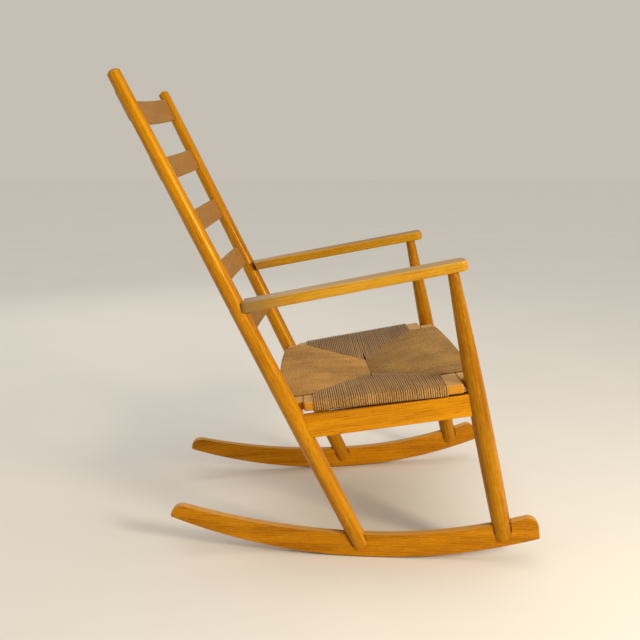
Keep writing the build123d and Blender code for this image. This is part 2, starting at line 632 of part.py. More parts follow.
# ---------------------------------------------------------------- assembly
def make_chair():
    """Every node of the chair, by name."""
    chair = {}
    left_parts = {
        "rocker": make_rocker(),
        "rear_post": make_rear_post(),
        "front_leg": make_front_leg(),
        "arm": make_arm(),
        "side_apron": make_apron(),
        "seat_side_rail": seat_rail(side_rail_outline(), SIDE_MIDDLE),
    }
    for name, part in left_parts.items():
        chair[f"{name}_left"] = part
        chair[f"{name}_right"] = mirrored(part)
    chair["front_cross_rail"] = make_cross_rail(FRONT_CROSS_END, LEG_AXIS, LEG_STATIONS)
    chair["rear_cross_rail"] = make_cross_rail(REAR_CROSS_END, POST_AXIS, POST_STATIONS)
    for number in range(SLAT_COUNT):
        chair[f"back_slat_{number + 1}"] = make_slat(number)
    chair["seat_front_rail"] = seat_rail(front_rail_outline(), (FRONT_EDGE, 0))
    chair["seat_rear_rail"] = seat_rail(rear_rail_outline(), (REAR_EDGE, 0))
    chair["seat_frame_dowels"] = frame_dowels()
    chair["seat_locating_pins"] = locating_pins()
    chair["woven_seat"] = make_woven_seat()
    chair["arm_bolts"] = both_sides(make_bolt())
    chair["arm_barrel_nuts"] = both_sides(make_nut())
    return chair


def export(chair):
    """Stand the chair over the origin and write one STEP file for each node."""
    boxes = [part.bounding_box() for part in chair.values()]
    rear = min(box.min.X for box in boxes)
    front = max(box.max.X for box in boxes)
    middle = Pos(-(rear + front) / 2, 0, 0)
    os.makedirs("parts", exist_ok=True)
    for name, part in chair.items():
        solids = (middle * part).solids()
        export_step(solids[0] if len(solids) == 1 else Compound(children=solids), f"parts/{name}.step")


export(make_chair())
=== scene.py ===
"""Dressed model of a ladder-back rocking chair with open arms and a corded loose seat.

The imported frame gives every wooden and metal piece.  This script gives them their finishes, weaves the
seat in single cords and sets up a plain studio.  Metres throughout; +X forward, +Y to the sitter's left,
+Z up.
"""
import logging
import math
import random
from dataclasses import dataclass, field
from enum import Enum

import bmesh
import bpy
from mathutils import Matrix, Vector


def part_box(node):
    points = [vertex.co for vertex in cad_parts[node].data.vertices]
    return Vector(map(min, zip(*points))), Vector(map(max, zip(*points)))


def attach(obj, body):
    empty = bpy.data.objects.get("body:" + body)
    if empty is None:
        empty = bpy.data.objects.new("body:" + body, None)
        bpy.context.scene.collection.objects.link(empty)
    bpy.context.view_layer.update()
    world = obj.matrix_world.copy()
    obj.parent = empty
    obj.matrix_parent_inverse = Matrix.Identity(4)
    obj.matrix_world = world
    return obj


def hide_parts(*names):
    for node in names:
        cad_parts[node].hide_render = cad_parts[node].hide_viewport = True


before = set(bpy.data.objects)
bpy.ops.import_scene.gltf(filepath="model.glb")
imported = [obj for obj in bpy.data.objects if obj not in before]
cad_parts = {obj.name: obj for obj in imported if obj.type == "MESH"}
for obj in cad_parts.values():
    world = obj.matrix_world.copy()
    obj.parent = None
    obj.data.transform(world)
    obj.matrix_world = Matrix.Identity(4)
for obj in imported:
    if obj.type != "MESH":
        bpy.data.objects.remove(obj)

log = logging.getLogger("rocking_chair")

BODY = "root"
Colour = tuple[float, float, float, float]
Triple = tuple[float, float, float]
Span = tuple[float, float]
Socket = bpy.types.NodeSocket

SRGB_KNEE, SRGB_SLOPE, SRGB_OFFSET, SRGB_POWER = 0.04045, 12.92, 0.055, 2.4
PATTERN_AXIS = Vector((1, 0, 0))        # every pattern runs along this axis until it is turned
PITH_RUNS = (-3, 3)                     # place along the tree, in terms of the distance from the pith
PITH_ANGLES = (0.6, 2.5)                # direction in which the pith lies, in radians
PITH_DISTANCES = (0.07, 0.12)           # how far off it lies
WAVE_PITCH = 0.314                      # between two rings of the wave texture at scale 1
NOISE_MIDDLE = (0.5, 0.5, 0.5)          # mean of a noise's colour
EVEN_LIMITS = (0.3, 0.7)                # limits that use nearly the whole range of a noise
MIX_SHARE, MIX_FIRST, MIX_SECOND, MIX_RESULT = 0, 6, 7, 2       # sockets of a Mix node for colours
EASE_ANGLES = (90, 68, 45, 22, 0)       # steps round an eased edge, in degrees
OUTWARD_STEPS = (0.0, 0.3, 0.65, 1.0)   # points on a field's way from its hip to the rail, on top
INWARD_STEPS = (0.0, 0.5, 1.0)          # points on its way back, underneath


def srgb(red: int, green: int, blue: int) -> Colour:
    """Linear colour from display values.

    Args:
        red: Red, 0 to 255.
        green: Green, 0 to 255.
        blue: Blue, 0 to 255.

    Returns:
        The linear colour, opaque.
    """
    def linear(value: int) -> float:
        """One channel made linear."""
        share = value / 255
        if share <= SRGB_KNEE:
            return share / SRGB_SLOPE
        return ((share + SRGB_OFFSET) / (1 + SRGB_OFFSET)) ** SRGB_POWER

    return (linear(red), linear(green), linear(blue), 1.0)


class Slot(Enum):
    """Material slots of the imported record."""

    ROCKER = "rocker_wood"
    POST = "post_wood"
    ARM = "arm_wood"
    APRON = "apron_wood"
    SLAT = "slat_wood"
    SEAT_RAIL = "seat_rail_wood"
    DOWEL = "dowel_wood"
    CORD = "paper_cord"
    BOLT = "bolt_steel"
    NUT = "nut_brass"


class Side(Enum):
    """The two sides of the chair, by the sign of Y."""

    LEFT = 1
    RIGHT = -1

    @property
    def suffix(self) -> str:
        """Ending of a node's name on this side."""
        return self.name.lower()


class Sector(Enum):
    """The four fields of the envelope weave, by the axis their strands run along and its sign."""

    LEFT = ("v", 1)
    RIGHT = ("v", -1)
    FRONT = ("u", 1)
    REAR = ("u", -1)

    @property
    def sideways(self) -> bool:
        """Whether its strands run across the seat."""
        return self.value[0] == "v"

    @property
    def label(self) -> str:
        """Its ending in the names of pieces."""
        return self.name.lower()


def set_out(name: str, data: bpy.types.ID) -> bpy.types.Object:
    """Put new data into the scene.

    Args:
        name: Name of the object.
        data: Its mesh, curve, light or camera.

    Returns:
        The object.
    """
    thing = bpy.data.objects.new(name, data)
    bpy.context.scene.collection.objects.link(thing)
    return thing


# ---------------------------------------------------------------- finishes
@dataclass(frozen=True)
class Pattern:
    """Smooth noise that part of a finish is drawn from.

    Attributes:
        scale: How many waves of it fill a metre, along each axis.
        detail: Octaves.
        roughness: Strength of the finer octaves.
        limits: Noise value where it starts to show, and the one where it shows in full.
    """

    scale: Triple
    detail: float
    roughness: float
    limits: Span = EVEN_LIMITS


WOOD_FIBRES = Pattern((16, 620, 620), 5.0, 0.6, (0.33, 0.67))
WOOD_TONES = Pattern((4.5, 46, 46), 4.0, 0.55, (0.34, 0.66))
WOOD_FLECKS = Pattern((34, 430, 430), 2.0, 0.5, (0.61, 0.69))
WOOD_RAYS = Pattern((75, 250, 250), 2.0, 0.5, (0.54, 0.68))
SPOT_EDGE = Pattern((220, 220, 220), 2.0, 0.5)
METAL_MARKS = Pattern((60, 3500, 3500), 3.0, 0.6)
METAL_TARNISH = Pattern((180, 180, 180), 3.0, 0.6, (0.45, 0.75))
CORD_STAIN = Pattern((14, 14, 14), 3.0, 0.55)
CORD_MOTTLE = Pattern((240, 60, 1), 2.0, 0.6, (0.36, 0.64))
CORD_FUZZ = Pattern((900, 900, 900), 3.0, 0.6)
PAPER_CREASES = Pattern((90, 90, 90), 6.0, 0.65)
FLOOR_MOTTLE = Pattern((3, 3, 3), 4.0, 0.5)


class NodeWork:
    """Short ways to add and join the nodes of a tree."""

    def __init__(self, tree: bpy.types.NodeTree) -> None:
        """Keep the tree.

        Args:
            tree: Tree to work on.
        """
        self.tree = tree

    def put(self, target: Socket, value: object) -> None:
        """Link a socket, or set it where the value is plain.

        Args:
            target: Input to fill.
            value: Output of another node, or a plain value.
        """
        if isinstance(value, Socket):
            self.tree.links.new(value, target)
        else:
            target.default_value = value

    def add(self, kind: str, inputs: dict[str | int, object], **settings: object) -> bpy.types.Node:
        """Add a node.

        Args:
            kind: Blender's name of the node type.
            inputs: Outputs or plain values, by the name or the number of the input.
            settings: Properties of the node itself, set first.

        Returns:
            The new node.
        """
        node = self.tree.nodes.new(kind)
        for key, value in settings.items():
            setattr(node, key, value)
        for key, value in inputs.items():
            self.put(node.inputs[key] if isinstance(key, int) else self.shown(node.inputs, key), value)
        return node

    @staticmethod
    def shown(sockets: bpy.types.bpy_prop_collection, name: str) -> Socket:
        """The enabled socket of that name."""
        return next(socket for socket in sockets if socket.enabled and socket.name == name)


class FinishTree(NodeWork):
    """Node tree of one finish."""

    def __init__(self, name: str) -> None:
        """Start with a bare shader.

        Args:
            name: Name of the material.
        """
        self.material = bpy.data.materials.new(name)
        self.material.use_nodes = True
        super().__init__(self.material.node_tree)
        self.tree.nodes.clear()
        self.surface = self.add("ShaderNodeBsdfPrincipled", {})
        self.add("ShaderNodeOutputMaterial", {"Surface": self.surface.outputs["BSDF"]})
        self.places = self.add("ShaderNodeTexCoord", {}).outputs

    def mapped(
        self,
        vector: Socket,
        scale: Triple = (1.0, 1.0, 1.0),
        turn: Triple = (0.0, 0.0, 0.0),
        shift: Triple = (0.0, 0.0, 0.0),
    ) -> Socket:
        """Turn, stretch and shift a coordinate.

        Args:
            vector: Coordinate to change.
            scale: Stretch along each axis.
            turn: Euler angles in radians.
            shift: Move, after the turn.

        Returns:
            The changed coordinate.
        """
        inputs = {"Vector": vector, "Scale": scale, "Rotation": turn, "Location": shift}
        return self.add("ShaderNodeMapping", inputs).outputs["Vector"]

    def noise(self, vector: Socket, pattern: Pattern) -> Socket:
        """Smooth noise of about 0 to 1.

        Args:
            vector: Coordinate that it reads.
            pattern: Its scale and fineness.

        Returns:
            The noise value.
        """
        inputs = {
            "Vector": self.mapped(vector, pattern.scale),
            "Scale": 1.0,
            "Detail": pattern.detail,
            "Roughness": pattern.roughness,
        }
        return self.add("ShaderNodeTexNoise", inputs).outputs["Fac"]

    def drawn(self, vector: Socket, pattern: Pattern, depth: float = 1.0) -> Socket:
        """Noise stretched between its limits, from 0 to the depth."""
        return self.span(self.noise(vector, pattern), *pattern.limits, 0.0, depth)

    def span(
        self, value: Socket, start: float, end: float, low: float = 0.0, high: float = 1.0
    ) -> Socket:
        """Map a value smoothly from one range to another, held at the ends.

        Args:
            value: Value to map.
            start: Value that gives low.
            end: Value that gives high.
            low: Result at the start.
            high: Result at the end.

        Returns:
            The mapped value.
        """
        inputs = {"Value": value, "From Min": start, "From Max": end, "To Min": low, "To Max": high}
        node = self.add("ShaderNodeMapRange", inputs, interpolation_type="SMOOTHSTEP")
        return node.outputs["Result"]

    def sum(self, operation: str, *values: object) -> Socket:
        """Result of one arithmetic step.

        Args:
            operation: Blender's name of the operation.
            values: Its operands, outputs or numbers.

        Returns:
            The result.
        """
        return self.add("ShaderNodeMath", dict(enumerate(values)), operation=operation).outputs[0]

    def blend(self, share: object, first: object, second: object) -> Socket:
        """Mix two colours.

        Args:
            share: How much of the second, 0 to 1.
            first: Colour at 0.
            second: Colour at 1.

        Returns:
            The mixed colour.
        """
        inputs = {MIX_SHARE: share, MIX_FIRST: first, MIX_SECOND: second}
        node = self.add("ShaderNodeMix", inputs, data_type="RGBA", clamp_factor=True)
        return node.outputs[MIX_RESULT]

    def relief(self, height: Socket, distance: float, strength: float) -> None:
        """Give the shader fine relief.

        Args:
            height: Height, 0 to 1.
            distance: Depth in metres that 1 stands for.
            strength: How much of it shows.
        """
        inputs = {"Height": height, "Distance": distance, "Strength": strength}
        self.put(self.surface.inputs["Normal"], self.add("ShaderNodeBump", inputs).outputs["Normal"])

    def cover(self, colour: Socket, roughness: object, plain: dict[str, object]) -> None:
        """Fill the shader's own inputs.

        Args:
            colour: Base colour.
            roughness: Roughness.
            plain: Values that are the same all over, by the name of the input.
        """
        for name, value in {"Base Color": colour, "Roughness": roughness, **plain}.items():
            self.put(self.surface.inputs[name], value)


@dataclass(frozen=True)
class Spot:
    """Spot of another tone in a board, such as a knot or an end that hands have rubbed.

    Attributes:
        centre: Its middle, in the chair's frame.
        radius: Its radius.
        tone: Its colour.
        depth: How much of that colour shows, 0 to 1.
        wobble: How far its edge strays, in radii.
        core: Where it starts to fade, in radii.
        fade: Where it has faded, in radii.
    """

    centre: Triple
    radius: float
    tone: Colour
    depth: float = 0.75
    wobble: float = 0.8
    core: float = 0.7
    fade: float = 2.6


@dataclass(frozen=True)
class LacqueredWood:
    """Hardwood under clear lacquer, its grain along the piece.

    The pattern is solid: rings about a pith outside the piece, fibres and short flecks along the grain,
    and slow changes of tone.

    Attributes:
        slot: Slot of the record that it shows.
        pale: Early wood.
        deep: Late wood and darker streaks.
        fleck: Short dark flecks.
        worn: Tone of paler upward faces: rubbing on some pieces, painted highlight on others.
        ring_pitch: Distance between rings.
        ring_depth: Share of the rings in the tone.
        ring_stretch: How fast the rings change along the grain, across it being 1.
        ring_wander: How far the rings stray from circles.
        fibre_depth: Share of the fibres.
        tone_depth: Share of the slow changes.
        fleck_depth: Strength of the flecks.
        ray: Pale flecks where the rays of the wood show.
        ray_depth: Strength of those.
        roughness: Of the lacquer's surface.
        gloss_play: How far the roughness falls and rises with the fibres.
        specular: Strength of its reflection.
        amber: Tone of that reflection, as the aged lacquer gives it.
        coat: Weight of the clear coat.
        coat_roughness: Of that coat.
        top_wear_and_light: How far upward faces take the paler tone, 0 to 1.
        wear_and_light_slopes: Upward part of the normal where the paler tone starts, and where it is full.
        wear_and_light_limits: Slow noise where the paler tone is least, and where it is full.
        wear_and_light_least: Share of the paler tone where it is least.
        wear_dulling: Roughness that the full paler tone adds.
        relief: Depth of the open grain.
        relief_strength: How much of it shows.
        fleck_relief: Depth of the flecks in terms of the fibres'.
        seam: Painted shade in the joints, dark where another piece is close.
        seam_reach: How far from the neighbour the painted shade reaches.
        seam_depth: How much of it shows, 0 to 1.
        seam_limits: Openness to the air where it is darkest, and where it ends.
        seam_samples: Rays that feel for a neighbour.
    """

    slot: Slot
    pale: Colour
    deep: Colour
    fleck: Colour
    worn: Colour = (0.5, 0.4, 0.25, 1.0)
    ring_pitch: float = 0.0060
    ring_depth: float = 0.22
    ring_stretch: float = 0.12
    ring_wander: float = 7.0
    fibre_depth: float = 0.30
    tone_depth: float = 0.50
    fleck_depth: float = 0.45
    ray: Colour = srgb(246, 192, 48)
    ray_depth: float = 0.12
    roughness: float = 0.30
    gloss_play: Span = (-0.05, 0.08)
    specular: float = 0.50
    amber: Colour = (1.0, 0.64, 0.12, 1.0)
    coat: float = 0.04
    coat_roughness: float = 0.25
    top_wear_and_light: float = 0.0
    wear_and_light_slopes: Span = (0.55, 0.97)
    wear_and_light_limits: Span = (0.25, 0.70)
    wear_and_light_least: float = 0.65
    wear_dulling: float = 0.12
    relief: float = 0.00012
    relief_strength: float = 0.5
    fleck_relief: float = 0.6
    # Colour of the painted shade in the joints.
    seam: Colour = srgb(58, 32, 8)
    seam_reach: float = 0.008
    seam_depth: float = 0.95
    seam_limits: Span = (0.38, 0.82)
    seam_samples: int = 8

    def material(
        self, name: str, grain: Vector, middle: Vector, seed: int, spots: tuple[Spot, ...] = ()
    ) -> bpy.types.Material:
        """Finish for one piece.

        Args:
            name: Name of the piece.
            grain: Direction of its grain.
            middle: Middle of the piece.
            seed: Chooses its part of the tree.
            spots: Knots and rubbed ends in it.

        Returns:
            The material.
        """
        chance = random.Random(seed)
        tree = FinishTree(f"{self.slot.value}_{name}")
        turn = grain.normalized().rotation_difference(PATTERN_AXIS)
        pith_angle = chance.uniform(*PITH_ANGLES)
        pith = Vector((chance.uniform(*PITH_RUNS), math.cos(pith_angle), math.sin(pith_angle)))
        pith *= chance.uniform(*PITH_DISTANCES)
        shift = pith - turn @ middle
        lay = tree.mapped(tree.places["Object"], turn=tuple(turn.to_euler()), shift=tuple(shift))
        fibre, tone = tree.noise(lay, WOOD_FIBRES), tree.noise(lay, WOOD_TONES)
        flecks = tree.drawn(lay, WOOD_FLECKS)
        shade = tree.sum("MULTIPLY", tree.span(tone, *WOOD_TONES.limits), self.tone_depth)
        shade = tree.sum("MULTIPLY_ADD", tree.span(fibre, *WOOD_FIBRES.limits), self.fibre_depth, shade)
        shade = tree.sum("MULTIPLY_ADD", self.rings(tree, lay), self.ring_depth, shade)
        colour = tree.blend(shade, self.pale, self.deep)
        colour = tree.blend(tree.sum("MULTIPLY", flecks, self.fleck_depth), colour, self.fleck)
        colour = tree.blend(tree.drawn(lay, WOOD_RAYS, self.ray_depth), colour, self.ray)
        sleek, dull = (self.roughness + play for play in self.gloss_play)
        rough = tree.span(fibre, *EVEN_LIMITS, sleek, dull)
        if self.top_wear_and_light:
            colour, rough = self.rubbed_and_lit_tops(tree, colour, rough, tone)
        for spot in spots:
            colour = self.spotted(tree, colour, spot)
        tree.cover(self.seam_shaded(tree, colour), rough, {
            "Specular IOR Level": self.specular,
            "Specular Tint": self.amber,
            "Coat Weight": self.coat,
            "Coat Roughness": self.coat_roughness,
        })
        height = tree.sum("SUBTRACT", fibre, tree.sum("MULTIPLY", flecks, self.fleck_relief))
        tree.relief(height, self.relief, self.relief_strength)
        return tree.material

    def rings(self, tree: FinishTree, lay: Socket) -> Socket:
        """Growth rings about the pith.

        Args:
            tree: Tree to add to.
            lay: Coordinate whose X runs along the pith.

        Returns:
            The rings, 0 to 1.
        """
        shape = {
            "Vector": tree.mapped(lay, (self.ring_stretch, 1, 1)),
            "Scale": WAVE_PITCH / self.ring_pitch,
            "Distortion": self.ring_wander,
            "Detail": 2.0,
            "Detail Scale": 0.25,
            "Detail Roughness": 0.5,
        }
        wave = tree.add("ShaderNodeTexWave", shape, wave_type="RINGS", rings_direction="X")
        return wave.outputs["Fac"]

    def seam_shaded(self, tree: FinishTree, colour: Socket) -> Socket:
        """Darken a colour where another piece is close: painted shade in the joints.

        Args:
            tree: Tree to add to.
            colour: Colour so far.

        Returns:
            The colour with painted shade in the joints.
        """
        # Painted shade from ambient occlusion, darkest where another piece is close.
        open_air = tree.add(
            "ShaderNodeAmbientOcclusion", {"Distance": self.seam_reach}, samples=self.seam_samples
        ).outputs["AO"]
        return tree.blend(tree.span(open_air, *self.seam_limits, self.seam_depth, 0.0), colour, self.seam)

    def spotted(self, tree: FinishTree, colour: Socket, spot: Spot) -> Socket:
        """Change a colour in and round a spot.

        Args:
            tree: Tree to add to.
            colour: Colour so far.
            spot: The spot.

        Returns:
            The colour with the spot in it.
        """
        place = tree.places["Object"]
        reach = tree.add(
            "ShaderNodeVectorMath", {0: place, 1: spot.centre}, operation="DISTANCE"
        ).outputs["Value"]
        reach = tree.sum("MULTIPLY_ADD", tree.noise(place, SPOT_EDGE), spot.radius * spot.wobble, reach)
        halo = tree.span(reach, spot.radius * spot.core, spot.radius * spot.fade, spot.depth, 0.0)
        return tree.blend(halo, colour, spot.tone)

    def rubbed_and_lit_tops(
        self, tree: FinishTree, colour: Socket, rough: Socket, tone: Socket
    ) -> tuple[Socket, Socket]:
        """Make upward faces paler and rougher: rubbing on some pieces, painted highlight on others.

        Args:
            tree: Tree to add to.
            colour: Colour so far.
            rough: Roughness so far.
            tone: Slow noise that breaks the paler tone up.

        Returns:
            Colour and roughness with the paler tops in them.
        """
        normal = tree.add("ShaderNodeSeparateXYZ", {0: tree.places["Normal"]}).outputs["Z"]
        upward = tree.span(normal, *self.wear_and_light_slopes)
        patch = tree.span(tone, *self.wear_and_light_limits, self.wear_and_light_least, 1.0)
        # Share of the paler tone: rubbing by hands, and painted highlight on the tops.
        wear_and_light = tree.sum("MULTIPLY", tree.sum("MULTIPLY", upward, patch), self.top_wear_and_light)
        return tree.blend(wear_and_light, colour, self.worn), tree.sum("MULTIPLY_ADD", wear_and_light, self.wear_dulling, rough)


@dataclass(frozen=True)
class BrushedMetal:
    """Turned or drawn metal with fine marks along one axis.

    Attributes:
        slot: Slot of the record that it shows.
        colour: Bright metal.
        tarnish: Duller patches.
        roughness: Of its surface.
        gloss_play: How far the roughness falls and rises with the marks.
        relief: Depth of the marks.
        relief_strength: How much of it shows.
    """

    slot: Slot
    colour: Colour
    tarnish: Colour
    roughness: float = 0.32
    gloss_play: Span = (-0.08, 0.12)
    relief: float = 0.00003
    relief_strength: float = 0.4

    def material(self, name: str, along: Vector) -> bpy.types.Material:
        """Finish for one piece.

        Args:
            name: Name of the piece.
            along: Direction of its marks.

        Returns:
            The material.
        """
        tree = FinishTree(f"{self.slot.value}_{name}")
        turn = along.normalized().rotation_difference(PATTERN_AXIS)
        lay = tree.mapped(tree.places["Object"], turn=tuple(turn.to_euler()))
        marks = tree.noise(lay, METAL_MARKS)
        colour = tree.blend(tree.drawn(lay, METAL_TARNISH), self.colour, self.tarnish)
        sleek, dull = (self.roughness + play for play in self.gloss_play)
        tree.cover(colour, tree.span(marks, *METAL_MARKS.limits, sleek, dull), {"Metallic": 1.0})
        tree.relief(marks, self.relief, self.relief_strength)
        return tree.material


@dataclass(frozen=True)
class TwistedPaperCord:
    """Unbleached paper cord laid up from three plies.

    Attributes:
        slot: Slot of the record that it shows.
        pale: Lighter strands.
        deep: Darker strands.
        groove_shade: Painted shade between the plies.
        plies: Number of plies.
        lay: Length of cord in which a ply goes once round.
        relief: Depth between the plies.
        relief_strength: How much of it shows.
        fuzz_relief: Height of the fuzz in terms of that depth.
        groove_shade_limits: Height of a ply where the painted shade starts, and where it is darkest.
        groove_shade_depth: How much of its tone shows.
        strand_share: Share of the strands' own tones in the shade.
        stain_share: Share of the wide stains.
        mottle_share: Share of the short changes along a strand.
        fuzz_share: Share of the fuzz.
        roughness: From the smoothest to the roughest spots.
        sheen: Weight of the fibres' sheen.
        sheen_roughness: Of that sheen.
    """

    slot: Slot
    pale: Colour
    deep: Colour
    groove_shade: Colour
    plies: int = 3
    lay: float = 0.0125
    relief: float = 0.00045
    relief_strength: float = 0.8
    fuzz_relief: float = 0.12
    groove_shade_limits: Span = (0.5, 0.0)
    groove_shade_depth: float = 0.85
    strand_share: float = 0.2
    stain_share: float = 0.35
    mottle_share: float = 0.42
    fuzz_share: float = 0.15
    roughness: Span = (0.62, 0.82)
    sheen: float = 0.12
    sheen_roughness: float = 0.5

    def material(self, name: str) -> bpy.types.Material:
        """Finish that reads the cord's length and turn from its UV map.

        Args:
            name: Name of the piece.

        Returns:
            The material.
        """
        tree = FinishTree(f"{self.slot.value}_{name}")
        place = tree.add("ShaderNodeSeparateXYZ", {0: tree.places["UV"]}).outputs
        turns = tree.sum("MULTIPLY", place["X"], self.plies * math.pi / self.lay)
        turns = tree.sum("MULTIPLY_ADD", place["Y"], self.plies * math.pi, turns)
        ply = tree.sum("ABSOLUTE", tree.sum("SINE", turns))
        strand = tree.add("ShaderNodeAttribute", {}, attribute_name=CordSweep.TONE).outputs["Fac"]
        unrolled = tree.add("ShaderNodeCombineXYZ", {"X": place["X"], "Y": strand}).outputs["Vector"]
        fuzz = tree.noise(tree.places["Object"], CORD_FUZZ)
        shade = tree.sum("MULTIPLY", strand, self.strand_share)
        for part, share in (
            (tree.drawn(tree.places["Object"], CORD_STAIN), self.stain_share),
            (tree.drawn(unrolled, CORD_MOTTLE), self.mottle_share),
            (tree.span(fuzz, *CORD_FUZZ.limits), self.fuzz_share),
        ):
            shade = tree.sum("MULTIPLY_ADD", part, share, shade)
        colour = tree.blend(shade, self.pale, self.deep)
        # Painted shade in the grooves between the plies.
        groove_shade = tree.span(ply, *self.groove_shade_limits, 0.0, self.groove_shade_depth)
        rough = tree.span(fuzz, *CORD_FUZZ.limits, *self.roughness)
        sheen = {"Sheen Weight": self.sheen, "Sheen Roughness": self.sheen_roughness}
        tree.cover(tree.blend(groove_shade, colour, self.groove_shade), rough, sheen)
        height = tree.sum("MULTIPLY_ADD", fuzz, self.fuzz_relief, ply)
        tree.relief(height, self.relief, self.relief_strength)
        return tree.material


@dataclass(frozen=True)
class KraftPaperAndShade:
    """Paper that fills the seat between its two layers of cord, dark as painted shade between strands.

    Attributes:
        slot: Slot of the record that it shows.
        pale: Its ridges.
        deep: Its creases.
        roughness: From its creases to its ridges.
        relief: Depth of the creases.
        relief_strength: How much of it shows.
    """

    slot: Slot
    pale: Colour
    deep: Colour
    roughness: Span = (0.8, 0.95)
    relief: float = 0.0008
    relief_strength: float = 0.6

    def material(self, name: str) -> bpy.types.Material:
        """Creased matte finish.

        Args:
            name: Name of the piece.

        Returns:
            The material.
        """
        tree = FinishTree(f"{self.slot.value}_{name}")
        creases = tree.noise(tree.places["Object"], PAPER_CREASES)
        rough = tree.span(creases, *PAPER_CREASES.limits, *self.roughness)
        tree.cover(tree.blend(creases, self.deep, self.pale), rough, {})
        tree.relief(creases, self.relief, self.relief_strength)
        return tree.material


# ---------------------------------------------------------------- wooden and metal sub-assemblies
@dataclass
class WoodenPieces:
    """Carried-over wooden pieces of one kind, each with grain of its own.

    Attributes:
        finish: Finish of the wood.
        grains: Grain direction of each node; for paired nodes without their suffix, on the left side.
        paired: Whether each name stands for a left and a right node.
        seed: First seed; each piece takes the next.
        spots: Knots and worn ends by node.
    """

    finish: LacqueredWood
    grains: dict[str, Triple]
    paired: bool
    seed: int
    spots: dict[str, tuple[Spot, ...]] = field(default_factory=dict)

    def members(self) -> list[tuple[str, Vector]]:
        """Every node with its grain direction.

        Returns:
            Names and directions.
        """
        if not self.paired:
            return [(name, Vector(grain)) for name, grain in self.grains.items()]
        return [
            (f"{name}_{side.suffix}", Vector((grain[0], side.value * grain[1], grain[2])))
            for name, grain in self.grains.items()
            for side in Side
        ]

    def dress(self) -> None:
        """Give each node its finish."""
        for number, (name, grain) in enumerate(self.members()):
            low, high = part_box(name)
            seed = self.seed + number
            finish = self.finish.material(name, grain, (low + high) / 2, seed, self.spots.get(name, ()))
            put_on(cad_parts[name], finish)


def put_on(node: bpy.types.Object, finish: bpy.types.Material) -> None:
    """Show a finish on a carried-over node, whose mesh stays as it is.

    Args:
        node: The node's object.
        finish: The material.
    """
    if not node.material_slots:
        node.data.materials.append(finish)
    for slot in node.material_slots:
        slot.material = finish
    log.info("dressed %s", node.name)


@dataclass
class ArmBolts:
    """Bolts and barrel nuts that draw the arms against the posts.

    Attributes:
        bolt: Finish of the bolts.
        nut: Finish of the nuts.
        along: Direction of the bolts.
        upright: Direction of the nuts.
    """

    bolt: BrushedMetal
    nut: BrushedMetal
    along: Triple = (0.983, 0.0, 0.182)
    upright: Triple = (-0.182, 0.0, 0.983)

    def dress(self) -> None:
        """Give the bolts and the nuts their finishes."""
        for name, metal, axis in (
            ("arm_bolts", self.bolt, self.along),
            ("arm_barrel_nuts", self.nut, self.upright),
        ):
            put_on(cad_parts[name], metal.material(name, Vector(axis)))


